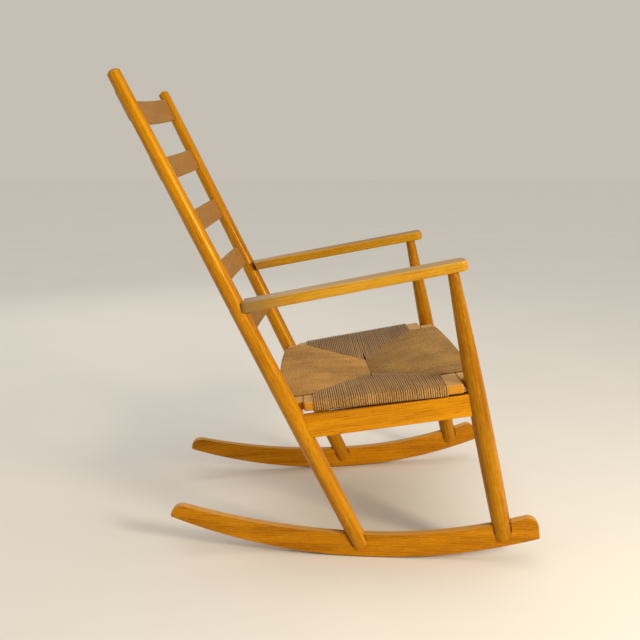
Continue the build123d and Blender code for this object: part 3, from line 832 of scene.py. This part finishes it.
# ---------------------------------------------------------------- corded seat
class CordSweep(NodeWork):
    """Geometry Nodes tree that winds round cord along every line of a curve."""

    TONE = "strand_tone"

    def __init__(self) -> None:
        """Build the tree."""
        super().__init__(bpy.data.node_groups.new("cord_sweep", "GeometryNodeTree"))
        socket = self.tree.interface.new_socket
        socket("Lines", in_out="INPUT", socket_type="NodeSocketGeometry")
        for name, kind in (
            ("Cord Radius", "NodeSocketFloat"),
            ("Spread", "NodeSocketFloat"),
            ("Sides", "NodeSocketInt"),
            ("Seam Turn", "NodeSocketFloat"),
            ("Wander", "NodeSocketFloat"),
            ("Wander Scale", "NodeSocketFloat"),
            ("Seed", "NodeSocketInt"),
            ("Finish", "NodeSocketMaterial"),
        ):
            socket(name, in_out="INPUT", socket_type=kind)
        socket("Cords", in_out="OUTPUT", socket_type="NodeSocketGeometry")
        self.sizes = self.add("NodeGroupInput", {})
        self.wire()

    def captured(
        self, geometry: Socket, value: Socket, name: str, domain: str
    ) -> tuple[Socket, Socket]:
        """Keep a value with the geometry.

        Args:
            geometry: Geometry to keep it on.
            value: The value.
            name: A name for it.
            domain: Where it lives.

        Returns:
            The geometry and the kept value.
        """
        node = self.add("GeometryNodeCaptureAttribute", {}, domain=domain)
        node.capture_items.new("FLOAT", name)
        self.put(node.inputs["Geometry"], geometry)
        self.put(node.inputs[name], value)
        return node.outputs["Geometry"], node.outputs[name]

    def wire(self) -> None:
        """Join the nodes from the lines to the finished cords."""
        size = self.sizes.outputs
        index = self.add("GeometryNodeInputIndex", {}).outputs["Index"]
        chance = self.add(
            "FunctionNodeRandomValue", {"Min": 0.0, "Max": 1.0, "ID": index, "Seed": size["Seed"]},
            data_type="FLOAT",
        )
        lines, tone = self.captured(size["Lines"], self.shown(chance.outputs, "Value"), "Tone", "CURVE")
        lines = self.wandering(lines)
        along = self.add("GeometryNodeSplineParameter", {})
        lines, length = self.captured(lines, along.outputs["Length"], "Length", "POINT")
        section = self.add(
            "GeometryNodeCurvePrimitiveCircle", {"Resolution": size["Sides"], "Radius": size["Cord Radius"]}
        ).outputs["Curve"]
        for change, parts in (
            ("Rotation", {"Z": size["Seam Turn"]}),
            ("Scale", {"X": size["Spread"], "Y": 1.0, "Z": 1.0}),
        ):
            amount = self.add("ShaderNodeCombineXYZ", parts).outputs["Vector"]
            section = self.add(
                "GeometryNodeTransform", {"Geometry": section, change: amount}
            ).outputs["Geometry"]
        around = self.add("GeometryNodeSplineParameter", {}).outputs["Factor"]
        section, turn = self.captured(section, around, "Turn", "POINT")
        tube = self.add(
            "GeometryNodeCurveToMesh", {"Curve": lines, "Profile Curve": section, "Fill Caps": True}
        ).outputs["Mesh"]
        unrolled = self.add("ShaderNodeCombineXYZ", {"X": length, "Y": turn}).outputs["Vector"]
        mapped = self.add(
            "GeometryNodeStoreNamedAttribute", {"Geometry": tube, "Name": "UVMap", "Value": unrolled},
            data_type="FLOAT2", domain="CORNER",
        ).outputs["Geometry"]
        toned = self.add(
            "GeometryNodeStoreNamedAttribute", {"Geometry": mapped, "Name": self.TONE, "Value": tone},
            data_type="FLOAT", domain="POINT",
        ).outputs["Geometry"]
        smooth = self.add("GeometryNodeSetShadeSmooth", {"Geometry": toned}).outputs["Geometry"]
        real = self.add("GeometryNodeRealizeInstances", {"Geometry": smooth}).outputs["Geometry"]
        dressed = self.add("GeometryNodeSetMaterial", {"Geometry": real, "Material": size["Finish"]})
        self.add("NodeGroupOutput", {"Cords": dressed.outputs["Geometry"]})

    def wandering(self, lines: Socket) -> Socket:
        """Let the lines wander a little, as hand-laid cord does.

        Args:
            lines: The straight lines.

        Returns:
            The same lines, moved by smooth noise.
        """
        size = self.sizes.outputs
        noise = self.add("ShaderNodeTexNoise", {"Scale": size["Wander Scale"], "Detail": 2.0})
        centred = self.add(
            "ShaderNodeVectorMath", {0: noise.outputs["Color"], 1: NOISE_MIDDLE}, operation="SUBTRACT"
        ).outputs["Vector"]
        offset = self.add(
            "ShaderNodeVectorMath", {0: centred, "Scale": size["Wander"]}, operation="SCALE"
        ).outputs["Vector"]
        moved = self.add("GeometryNodeSetPosition", {"Geometry": lines, "Offset": offset})
        return moved.outputs["Geometry"]

    def swept(self, name: str, lines: list[list[Vector]], sizes: dict[str, object]) -> bpy.types.Object:
        """Make one mesh of cords.

        Args:
            name: Name of the piece.
            lines: Centre lines of its cords.
            sizes: Value of each named input.

        Returns:
            The finished object, its place in its mesh.
        """
        curve = bpy.data.curves.new(f"{name}_lines", "CURVE")
        curve.dimensions = "3D"
        for line in lines:
            spline = curve.splines.new("POLY")
            spline.points.add(len(line) - 1)
            spline.points.foreach_set("co", [value for point in line for value in (*point, 1.0)])
        carrier = set_out(f"{name}_lines", curve)
        winding = carrier.modifiers.new("winding", "NODES")
        winding.node_group = self.tree
        for item in self.tree.interface.items_tree:
            if item.in_out == "INPUT" and item.name in sizes:
                winding[item.identifier] = sizes[item.name]
        depsgraph = bpy.context.evaluated_depsgraph_get()
        mesh = bpy.data.meshes.new_from_object(
            carrier.evaluated_get(depsgraph), preserve_all_data_layers=True, depsgraph=depsgraph
        )
        bpy.data.objects.remove(carrier)
        mesh.name = name
        return set_out(name, mesh)


@dataclass
class WovenSeat:
    """Envelope weave of the loose seat, in the seat's own directions.

    u runs forward, v to the sitter's left and w up, square to the seat; the origin is over the middle of
    the front legs, at the top of the aprons.

    Attributes:
        cords: Finish of each field; their different tones are painted light and shade on one cord.
        stuffing_and_shade: Finish of the paper inside and the sheets, dark as painted shade between
            strands.
        origin: Origin of u, v and w.
        pitch: Rise of the seat to the front, in degrees.
        front: u of the opening's front edge.
        rear: u of its rear edge.
        half_width: v of its left edge.
        apex: v at which the side fields end in a point.
        rail_base: w of the rails' underside.
        rail_top: w of their top.
        rail_ease: Rounding of their outer edges.
        side_front: v of the side rail's outer edge at its front end, at u of side_front_at.
        side_front_at: That u.
        side_rear: v of the same edge at its rear end, at u of side_rear_at.
        side_rear_at: That u.
        front_crown: u of the front rail's outer edge in the middle.
        front_bow_radius: Radius of that edge.
        rear_crown: u of the rear rail's outer edge in the middle.
        rear_bow_radius: Radius of that edge.
        cord_radius: Radius of the cord.
        cord_spread: Width of the pressed cord in terms of its height.
        cord_gap: From the wood to the cord.
        strand_pitch: Between two strands.
        dish: Depth of the hollow on top.
        sag: Depth of the belly underneath.
        tuck: How far a strand dives where the fields meet.
        lap: How far the side fields lie over the front and rear ones where they meet.
        slit_width: Width of the slit at each apex.
        slit_length: Its length.
        slit_reach: How far from the slit its strands are still pushed aside.
        unevenness: How far the hand-laid strands stray.
        pad_gap: From the cord to the paper inside.
        shade_sheet_gap: From the wood to the dark sheet of painted shade under the cord.
        shade_sheet_thickness: Of that sheet, on top and outside.
        shade_sheet_drop: How far it hangs below the rails.
        pad_columns: Faces of the paper inside from right to left.
        pad_rows: Its faces from rear to front.
        cord_sides: Sides of a cord's section.
        seam_turn: Where the seam of that section lies, in degrees.
        wander: How far a cord wanders along its way.
        wander_scale: Waves of that in a metre.
        first_seed: Seed of the first field; each field takes the next.
    """

    cords: dict[Sector, TwistedPaperCord]
    stuffing_and_shade: KraftPaperAndShade
    origin: Triple = (0.302022, 0.0, 0.389)
    pitch: float = 8.2
    front: float = -0.0583
    rear: float = -0.3423
    half_width: float = 0.214
    apex: float = 0.064
    rail_base: float = 0.0038
    rail_top: float = 0.0238
    rail_ease: float = 0.004
    side_front: float = 0.3015
    side_front_at: float = -0.02518
    side_rear: float = 0.26448
    side_rear_at: float = -0.36581
    front_crown: float = 0.017
    front_bow_radius: float = 3.804
    rear_crown: float = -0.41257
    rear_bow_radius: float = 1.7425
    cord_radius: float = 0.00165
    cord_spread: float = 1.2
    cord_gap: float = 0.0002
    strand_pitch: float = 0.00475
    dish: float = 0.022
    sag: float = 0.008
    tuck: float = 0.008
    lap: float = 0.0014
    slit_width: float = 0.0065
    slit_length: float = 0.055
    slit_reach: float = 0.019
    unevenness: float = 0.00025
    pad_gap: float = 0.0008
    shade_sheet_gap: float = 0.0003
    shade_sheet_thickness: float = 0.0004
    shade_sheet_drop: float = 0.0027
    pad_columns: int = 48
    pad_rows: int = 34
    cord_sides: int = 8
    seam_turn: float = 112.5
    wander: float = 0.0004
    wander_scale: float = 35.0
    first_seed: int = 11

    def place(self, u: float, v: float, w: float) -> Vector:
        """Point in the chair's frame from the seat's own coordinates."""
        slope = math.radians(self.pitch)
        forward = Vector((math.cos(slope), 0, math.sin(slope)))
        upward = Vector((-math.sin(slope), 0, math.cos(slope)))
        return Vector(self.origin) + forward * u + Vector((0, v, 0)) + upward * w

    @property
    def middle(self) -> float:
        """u of the line between the front and rear fields."""
        return (self.front + self.rear) / 2

    @property
    def half_depth(self) -> float:
        """Half of the opening, from front to rear."""
        return (self.front - self.rear) / 2

    def side_edge(self, u: float) -> float:
        """v of the side rail's outer edge."""
        share = (u - self.side_rear_at) / (self.side_front_at - self.side_rear_at)
        return self.side_rear + share * (self.side_front - self.side_rear)

    def end_edge(self, sector: Sector, v: float) -> float:
        """Outer edge of the front or rear rail.

        Args:
            sector: Front or rear field.
            v: Place across the seat.

        Returns:
            Distance outwards along that field's own direction.
        """
        if sector is Sector.FRONT:
            radius, crown = self.front_bow_radius, self.front_crown
        else:
            radius, crown = self.rear_bow_radius, -self.rear_crown
        return crown - radius + math.sqrt(radius**2 - v**2)

    def spread(self, sector: Sector) -> Span:
        """Both ends of a field, across its strands."""
        if sector.sideways:
            return self.rear, self.front
        return -self.half_width, self.half_width

    def spot(self, sector: Sector, across: float, out: float, height: float) -> Vector:
        """Point of a field in the chair's frame.

        Args:
            sector: The field.
            across: Place across its strands.
            out: Distance outwards, along them.
            height: Height square to the seat.

        Returns:
            The point.
        """
        axis, sign = sector.value
        if axis == "v":
            return self.place(across, sign * out, height)
        return self.place(sign * out, across, height)

    def span_of(self, sector: Sector, across: float) -> tuple[float, float, float, float]:
        """Reach of a strand at a place across its field.

        Args:
            sector: The field.
            across: The place.

        Returns:
            Outward distances of the hip, the opening's edge and the rail's outer edge, and the share of
            the full depth at which the hip lies.
        """
        if sector.sideways:
            fall = 1 - abs(across - self.middle) / self.half_depth
            hip = self.half_width - fall * (self.half_width - self.apex)
            return hip, self.half_width, self.side_edge(across), fall
        rim = self.front if sector is Sector.FRONT else -self.rear
        fall = min(1.0, (self.half_width - abs(across)) / (self.half_width - self.apex))
        return rim - fall * self.half_depth, rim, self.end_edge(sector, across), fall

    def round_rail(self, edge: float, above: float, beneath: float) -> list[Span]:
        """Way round the rail's outer edge, from above to below.

        Args:
            edge: Outward distance of the rail's outer edge.
            above: Distance from the wood, on top and outside.
            beneath: Distance from the wood, underneath.

        Returns:
            Outward distances and heights.
        """
        ease, turns = self.rail_ease, [math.radians(angle) for angle in EASE_ANGLES]
        outs = [edge - ease + (ease + above) * math.cos(turn) for turn in turns]
        highs = [self.rail_top - ease + (ease + above) * math.sin(turn) for turn in turns]
        lows = [self.rail_base + ease - (ease + beneath) * math.sin(turn) for turn in turns]
        return [*zip(outs, highs), *zip(reversed(outs), reversed(lows))]

    def course(
        self,
        sector: Sector,
        across: float,
        above: float,
        beneath: float,
        lap: float = 0.0,
        setback: float = 0.0,
    ) -> list[Span]:
        """Side view of a field, from its hip over and round the rail and back to the hip underneath.

        Args:
            sector: The field.
            across: Place across its strands.
            above: Distance from the wood, on top and outside.
            beneath: Distance from the wood, underneath.
            lap: How far it stands above its neighbours at the hip.
            setback: How far outwards of the hip it starts.

        Returns:
            Outward distances and heights.
        """
        hip, rim, edge, fall = self.span_of(sector, across)
        top, base = self.rail_top + above, self.rail_base - beneath
        low, belly = top - self.dish * fall + lap, base - self.sag * fall
        bend = hip + setback
        outwards = [(bend + (rim - bend) * share, low + (top - low) * share) for share in OUTWARD_STEPS]
        inwards = [(rim + (bend - rim) * share, base + (belly - base) * share) for share in INWARD_STEPS]
        return [*outwards, *self.round_rail(edge, above, beneath), *inwards]

    def strand(self, sector: Sector, across: float) -> list[Span]:
        """Side view of one strand, whose ends dive between the two layers.

        Args:
            sector: Its field.
            across: Its place across the field.

        Returns:
            Outward distances and heights.
        """
        lap = self.lap if sector.sideways else 0.0
        standoff = self.cord_gap + self.cord_radius
        course = self.course(sector, across, standoff, standoff, lap, self.cord_radius - lap)
        (bend, low), belly = course[0], course[-1][1]
        start = [
            (bend - 2 * self.cord_radius, low - self.tuck),
            (bend - self.cord_radius, low - self.tuck / 4),
        ]
        end = [(out, belly + low - height) for out, height in reversed(start)]
        return [*start, *course, *end]

    def parted(self, across: float, past_apex: float) -> float:
        """Place of a strand across its field, pushed aside where it passes the slit.

        Args:
            across: Its place without the slit.
            past_apex: Distance outwards from the apex.

        Returns:
            Its place.
        """
        off = across - self.middle
        near = max(0.0, 1 - abs(off) / self.slit_reach)
        wide = min(1.0, max(0.0, 1 - past_apex / self.slit_length))
        return across + math.copysign(self.slit_width / 2 * near * wide, off)

    def lines(self, sector: Sector, chance: random.Random) -> list[list[Vector]]:
        """Centre lines of every strand of one field.

        Args:
            sector: The field.
            chance: Source of the small unevenness of hand work.

        Returns:
            The lines, in the chair's frame.
        """
        low, high = self.spread(sector)
        count = 2 * round((high - low) / self.strand_pitch / 2)
        step = (high - low) / count
        found = []
        for number in range(count):
            across = low + (number + 0.5) * step + chance.uniform(-self.unevenness, self.unevenness)
            lift = chance.uniform(0.0, self.unevenness)
            line = []
            for out, height in self.strand(sector, across):
                aside = self.parted(across, out - self.apex) if sector.sideways else across
                line.append(self.spot(sector, aside, out, height + lift))
            found.append(line)
        return found

    def stuff(self) -> bpy.types.Object:
        """Closed pad of paper between the two layers, which shuts the gaps between strands.

        Its dark tone is painted shade in those gaps.

        Returns:
            The pad.
        """
        columns, rows = self.pad_columns, self.pad_rows
        points: list[Vector] = []
        for upper in (True, False):
            for row in range(rows + 1):
                for column in range(columns + 1):
                    u = self.middle + (self.half_depth - self.pad_gap) * (2 * row / rows - 1)
                    v = (self.half_width - self.pad_gap) * (2 * column / columns - 1)
                    fall = min(
                        1 - abs(u - self.middle) / self.half_depth,
                        (self.half_width - abs(v)) / (self.half_width - self.apex),
                    )
                    top = self.rail_top + self.cord_gap - self.pad_gap - self.dish * fall
                    base = self.rail_base - self.cord_gap + self.pad_gap - self.sag * fall
                    points.append(self.place(u, v, top if upper else base))
        stride, level = columns + 1, (columns + 1) * (rows + 1)
        faces: list[tuple[int, ...]] = []
        for row in range(rows):
            for column in range(columns):
                corner = row * stride + column
                quad = (corner, corner + stride, corner + stride + 1, corner + 1)
                faces.append(quad)
                faces.append(tuple(index + level for index in reversed(quad)))
        rim = list(range(columns))
        rim += [row * stride + columns for row in range(rows)]
        rim += [rows * stride + column for column in range(columns, 0, -1)]
        rim += [row * stride for row in range(rows, 0, -1)]
        for here, there in zip(rim, rim[1:] + rim[:1]):
            faces.append((here, there, there + level, here + level))
        return closed_piece("seat_stuffing_and_shade", points, faces, self.stuffing_and_shade.material("stuffing_and_shade"))

    def line(self, sector: Sector) -> bpy.types.Object:
        """Closed dark sheet under the strands of one field, wrapped round its rail with them.

        It is painted shade, darkening the gaps between the strands.

        Args:
            sector: The field.

        Returns:
            The sheet.
        """
        low, high = self.spread(sector)
        low, high = low + self.strand_pitch / 2, high - self.strand_pitch / 2
        rows = round((high - low) / (2 * self.strand_pitch))
        points: list[Vector] = []
        for row in range(rows + 1):
            across = low + (high - low) * row / rows
            inner = self.course(sector, across, self.shade_sheet_gap, self.shade_sheet_gap)
            outer = self.course(sector, across, self.shade_sheet_gap + self.shade_sheet_thickness, self.shade_sheet_drop)
            points += [self.spot(sector, across, out, height) for out, height in inner + outer[::-1]]
        girth = len(points) // (rows + 1)
        faces: list[tuple[int, ...]] = []
        for row in range(rows):
            for step in range(girth):
                here, there = row * girth + step, row * girth + (step + 1) % girth
                faces.append((here, there, there + girth, here + girth))
        for start in (0, rows * girth):
            for step in range(girth // 2 - 1):
                far = girth - 1 - step
                faces.append((start + step, start + step + 1, start + far - 1, start + far))
        # Painted shade: the dark sheet fills the gaps between the strands over the rail.
        name = f"seat_lining_{sector.label}"
        return closed_piece(name, points, faces, self.stuffing_and_shade.material(f"lining_{sector.label}"))

    def build(self, sweep: CordSweep) -> None:
        """Weave the four fields, put a dark sheet of painted shade under each, and fill the seat.

        Args:
            sweep: Tree that turns lines into cord.
        """
        for seed, sector in enumerate(Sector, start=self.first_seed):
            name = f"seat_cords_{sector.label}"
            sizes = {
                "Cord Radius": self.cord_radius,
                "Spread": self.cord_spread,
                "Sides": self.cord_sides,
                "Seam Turn": math.radians(self.seam_turn),
                "Wander": self.wander,
                "Wander Scale": self.wander_scale,
                "Seed": seed,
                "Finish": self.cords[sector].material(sector.label),
            }
            join_seat(sweep.swept(name, self.lines(sector, random.Random(seed)), sizes))
            join_seat(self.line(sector))
        join_seat(self.stuff())


def closed_piece(
    name: str, points: list[Vector], faces: list[tuple[int, ...]], finish: bpy.types.Material
) -> bpy.types.Object:
    """Piece of a closed mesh whose faces all point outwards.

    Args:
        name: Name of the piece.
        points: Its corners.
        faces: Its faces, in any direction.
        finish: Its material.

    Returns:
        The piece.
    """
    mesh = bpy.data.meshes.new(name)
    mesh.from_pydata(points, [], faces)
    shell = bmesh.new()
    shell.from_mesh(mesh)
    bmesh.ops.recalc_face_normals(shell, faces=shell.faces[:])
    shell.to_mesh(mesh)
    shell.free()
    mesh.materials.append(finish)
    return set_out(name, mesh)


def join_seat(piece: bpy.types.Object) -> None:
    """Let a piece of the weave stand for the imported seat.

    Args:
        piece: The piece.
    """
    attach(piece, BODY)
    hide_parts("woven_seat")
    log.info("made %s with %d faces", piece.name, len(piece.data.polygons))


# ---------------------------------------------------------------- studio
@dataclass(frozen=True)
class SoftBox:
    """Large soft light.

    Attributes:
        name: Its name.
        place: Where it stands.
        aim: What it points at.
        width: Of its face.
        height: Of its face.
        power: In watts.
        colour: Of its light.
    """

    name: str
    place: Triple
    aim: Triple
    width: float
    height: float
    power: float
    colour: Triple

    def build(self) -> None:
        """Set the light up."""
        lamp = bpy.data.lights.new(self.name, "AREA")
        lamp.shape = "RECTANGLE"
        lamp.size, lamp.size_y = self.width, self.height
        lamp.energy, lamp.color = self.power, self.colour
        direction = Vector(self.aim) - Vector(self.place)
        turn = direction.to_track_quat("-Z", "Y").to_matrix().to_4x4()
        set_out(self.name, lamp).matrix_world = Matrix.Translation(self.place) @ turn


@dataclass
class Studio:
    """Pale floor, soft light and the camera.

    Attributes:
        boxes: The soft lights.
        floor_size: Side of the floor.
        floor_colour: Colour of the floor.
        floor_dim: Tone of its darker patches in terms of that colour.
        floor_roughness: Of its surface.
        sky: Colour of the even light from all round.
        sky_strength: Its strength.
        backdrop: Tone that is seen behind the floor.
        overhead_power: Of the wide even light from above.
        overhead_spread: Its width, in degrees.
        eye: Place of the camera.
        yaw: Turn of the view to the front of the chair, in radians.
        pitch: Downward tilt, in radians.
        roll: Turn about the line of sight, in radians.
        lens: Focal length in millimetres.
        sensor: Width of the sensor in millimetres.
        sight: Nearest and farthest distance that the camera sees.
    """

    boxes: tuple[SoftBox, ...]
    floor_size: float = 40.0
    floor_colour: Colour = srgb(236, 231, 221)
    floor_dim: float = 0.94
    floor_roughness: float = 0.75
    sky: Colour = srgb(238, 234, 226)
    sky_strength: float = 0.38
    backdrop: Colour = srgb(197, 191, 180)
    overhead_power: float = 1.15
    overhead_spread: float = 60.0
    eye: Triple = (-0.0999, -1.887, 0.8961)
    yaw: float = 0.045
    pitch: float = 0.215
    roll: float = 0.002
    lens: float = 44.81
    sensor: float = 36.0
    sight: Span = (0.05, 60.0)

    def lay_floor(self) -> None:
        """Lay the plain floor, which isn't part of the chair."""
        half = self.floor_size / 2
        mesh = bpy.data.meshes.new("studio_floor")
        corners = [(-half, -half, 0), (half, -half, 0), (half, half, 0), (-half, half, 0)]
        mesh.from_pydata(corners, [], [(0, 1, 2, 3)])
        tree = FinishTree("studio_floor")
        mottle = tree.noise(tree.places["Object"], FLOOR_MOTTLE)
        dim = tuple(self.floor_dim * value for value in self.floor_colour[:3]) + (1.0,)
        tree.cover(tree.blend(mottle, dim, self.floor_colour), self.floor_roughness, {})
        mesh.materials.append(tree.material)
        floor = set_out("studio_floor", mesh)

    def light(self) -> None:
        """Set up the even light and the soft boxes."""
        world = bpy.data.worlds.new("studio_sky")
        world.use_nodes = True
        work, nodes = NodeWork(world.node_tree), world.node_tree.nodes
        even = nodes["Background"]
        work.put(even.inputs["Color"], self.sky)
        work.put(even.inputs["Strength"], self.sky_strength)
        seen = work.add("ShaderNodeBackground", {"Color": self.backdrop})
        ray = work.add("ShaderNodeLightPath", {}).outputs["Is Camera Ray"]
        either = work.add(
            "ShaderNodeMixShader", {0: ray, 1: even.outputs["Background"], 2: seen.outputs["Background"]}
        )
        work.put(nodes["World Output"].inputs["Surface"], either.outputs["Shader"])
        bpy.context.scene.world = world
        bpy.context.scene.view_settings.view_transform = "Standard"
        overhead = bpy.data.lights.new("overhead", "SUN")
        overhead.energy, overhead.angle = self.overhead_power, math.radians(self.overhead_spread)
        set_out("overhead", overhead)
        for box in self.boxes:
            box.build()

    def aim_camera(self) -> None:
        """Stand the camera up and make it the scene's."""
        lens = bpy.data.cameras.new("camera")
        lens.lens, lens.sensor_width = self.lens, self.sensor
        lens.clip_start, lens.clip_end = self.sight
        camera = set_out("camera", lens)
        ahead = Vector((
            math.sin(self.yaw) * math.cos(self.pitch),
            math.cos(self.yaw) * math.cos(self.pitch),
            -math.sin(self.pitch),
        ))
        level = Vector((math.cos(self.yaw), -math.sin(self.yaw), 0))
        above = level.cross(ahead)
        right = level * math.cos(self.roll) + above * math.sin(self.roll)
        up = above * math.cos(self.roll) - level * math.sin(self.roll)
        turn = Matrix((right, up, -ahead)).transposed().to_4x4()
        camera.matrix_world = Matrix.Translation(self.eye) @ turn
        bpy.context.scene.camera = camera

    def build(self) -> None:
        """Set the whole studio up."""
        self.lay_floor()
        self.light()
        self.aim_camera()


# ---------------------------------------------------------------- the chair's own finishes and pieces
POST_WOOD = LacqueredWood(Slot.POST, srgb(214, 143, 8), srgb(160, 94, 3), srgb(104, 54, 2))
# Darker copy of the post wood for the front legs: painted shade, for the less light that falls on them.
SHADED_LEG_WOOD = LacqueredWood(Slot.POST, srgb(192, 127, 6), srgb(140, 82, 2), srgb(94, 48, 2))
# The rocker's paler upward faces are a painted highlight along its top edges.
ROCKER_WOOD = LacqueredWood(
    Slot.ROCKER, srgb(208, 136, 6), srgb(154, 88, 2), srgb(104, 54, 2), worn=srgb(222, 172, 92),
    top_wear_and_light=0.65,
)
APRON_WOOD = LacqueredWood(Slot.APRON, srgb(226, 152, 6), srgb(180, 108, 3), srgb(106, 56, 3))
# The arms' paler upward faces are partly rubbed by hands and partly painted highlight; the left arm's
# finish is darker, with less of its top paled.
ARM_WOOD = LacqueredWood(
    Slot.ARM, srgb(210, 158, 46), srgb(170, 110, 18), srgb(126, 74, 14), worn=srgb(190, 160, 112),
    top_wear_and_light=0.9,
)
LEFT_ARM_WOOD = LacqueredWood(
    Slot.ARM, srgb(196, 142, 28), srgb(164, 108, 12), srgb(116, 68, 12), worn=srgb(176, 142, 92),
    top_wear_and_light=0.35,
)
SLAT_WOOD = LacqueredWood(
    Slot.SLAT, srgb(176, 128, 68), srgb(146, 101, 50), srgb(104, 64, 28), ring_depth=0.12, tone_depth=0.30,
    ray_depth=0.0, roughness=0.50, specular=0.25, coat=0.0,
)
# Its upward faces are paler and greyer than its sides.
BARE_WOOD = LacqueredWood(
    Slot.SEAT_RAIL, srgb(226, 162, 52), srgb(198, 130, 30), srgb(120, 76, 28), worn=srgb(204, 166, 112),
    top_wear_and_light=0.85, ray_depth=0.0, roughness=0.50, coat=0.0,
)
DOWEL_WOOD = LacqueredWood(
    Slot.DOWEL, srgb(220, 192, 142), srgb(196, 160, 104), srgb(160, 122, 74), ray_depth=0.0, roughness=0.7,
    coat=0.0,
)
ARM_KNOT = Spot((-0.1838, -0.3010, 0.5875), 0.0035, srgb(150, 84, 58))
RIGHT_ARM_END = Spot((-0.1977, -0.2895, 0.5738), 0.060, srgb(142, 112, 66), 0.95)
LEFT_ARM_END = Spot((-0.1977, 0.2895, 0.5738), 0.045, srgb(150, 116, 64), 0.60)

POST_GRAIN = (-0.432987, 0.055657, 0.899680)
LEG_GRAIN = (-0.219806, -0.019239, 0.975354)
BLADE_GRAIN = (0.992546, 0.121869, 0.0)
LEFT_ARM_GRAIN = (0.983164, -0.013627, 0.182219)
RIGHT_ARM_GRAIN = (0.983164, 0.013627, 0.182219)
APRON_GRAIN = (0.9889, 0.0417, 0.1425)
SEAT_GRAIN = (0.989776, 0.0, 0.142629)
PIN_GRAIN = (-0.142629, 0.0, 0.989776)
ACROSS = (0.0, 1.0, 0.0)
SLATS = tuple(f"back_slat_{number}" for number in range(1, 6))

WOOD = (
    WoodenPieces(ROCKER_WOOD, {"rocker": BLADE_GRAIN}, True, 100),
    WoodenPieces(POST_WOOD, {"rear_post": POST_GRAIN}, True, 200),
    WoodenPieces(SHADED_LEG_WOOD, {"front_leg": LEG_GRAIN}, True, 202),
    WoodenPieces(LEFT_ARM_WOOD, {"arm_left": LEFT_ARM_GRAIN}, False, 300, {"arm_left": (LEFT_ARM_END,)}),
    WoodenPieces(
        ARM_WOOD, {"arm_right": RIGHT_ARM_GRAIN}, False, 301, {"arm_right": (RIGHT_ARM_END, ARM_KNOT)}
    ),
    WoodenPieces(APRON_WOOD, {"side_apron": APRON_GRAIN}, True, 400),
    WoodenPieces(APRON_WOOD, {"front_cross_rail": ACROSS, "rear_cross_rail": ACROSS}, False, 410),
    WoodenPieces(SLAT_WOOD, {name: ACROSS for name in SLATS}, False, 500),
    WoodenPieces(BARE_WOOD, {"seat_front_rail": ACROSS, "seat_rear_rail": ACROSS}, False, 600),
    WoodenPieces(BARE_WOOD, {"seat_side_rail": SEAT_GRAIN}, True, 610),
    WoodenPieces(
        DOWEL_WOOD, {"seat_frame_dowels": SEAT_GRAIN, "seat_locating_pins": PIN_GRAIN}, False, 700
    ),
)

BOLTS = ArmBolts(
    BrushedMetal(Slot.BOLT, srgb(150, 146, 138), srgb(96, 90, 82)),
    BrushedMetal(Slot.NUT, srgb(206, 176, 112), srgb(150, 118, 70)),
)

SEAT = WovenSeat(
    # One cord in all four fields: their different tones are painted light and shade, for how each field's
    # strands meet the light. The third colour of each is the painted shade in the grooves between the
    # plies.
    cords={
        Sector.LEFT: TwistedPaperCord(Slot.CORD, srgb(190, 148, 88), srgb(140, 102, 56), srgb(66, 44, 22)),
        Sector.RIGHT: TwistedPaperCord(Slot.CORD, srgb(220, 170, 92), srgb(164, 116, 54), srgb(76, 48, 22)),
        Sector.FRONT: TwistedPaperCord(Slot.CORD, srgb(192, 145, 56), srgb(126, 88, 30), srgb(66, 44, 18)),
        Sector.REAR: TwistedPaperCord(Slot.CORD, srgb(214, 158, 66), srgb(148, 104, 40), srgb(78, 52, 20)),
    },
    # Paper inside the seat, its dark tone painted shade in the gaps between strands; the same finish
    # darkens the sheets under the strands round the rails.
    stuffing_and_shade=KraftPaperAndShade(Slot.CORD, srgb(74, 52, 30), srgb(38, 26, 15)),
)

STUDIO = Studio(boxes=(
    SoftBox("key", (1.72, -1.88, 1.35), (0.0, 0.0, 0.45), 0.6, 0.6, 54.0, (1.0, 0.87, 0.67)),
    SoftBox("fill", (-2.4, -2.4, 1.8), (0.0, 0.0, 0.5), 2.4, 1.8, 2.5, (0.96, 0.98, 1.0)),
    SoftBox("rear", (-1.2, 2.6, 1.8), (0.0, 0.0, 0.5), 2.0, 1.5, 9.0, (1.0, 0.97, 0.92)),
))


def main() -> None:
    """Dress the chair, weave its seat and set the studio up."""
    logging.basicConfig(level=logging.INFO, format="%(message)s")
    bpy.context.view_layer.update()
    for pieces in WOOD:
        pieces.dress()
    BOLTS.dress()
    SEAT.build(CordSweep())
    STUDIO.build()


if __name__ == "__main__":
    main()
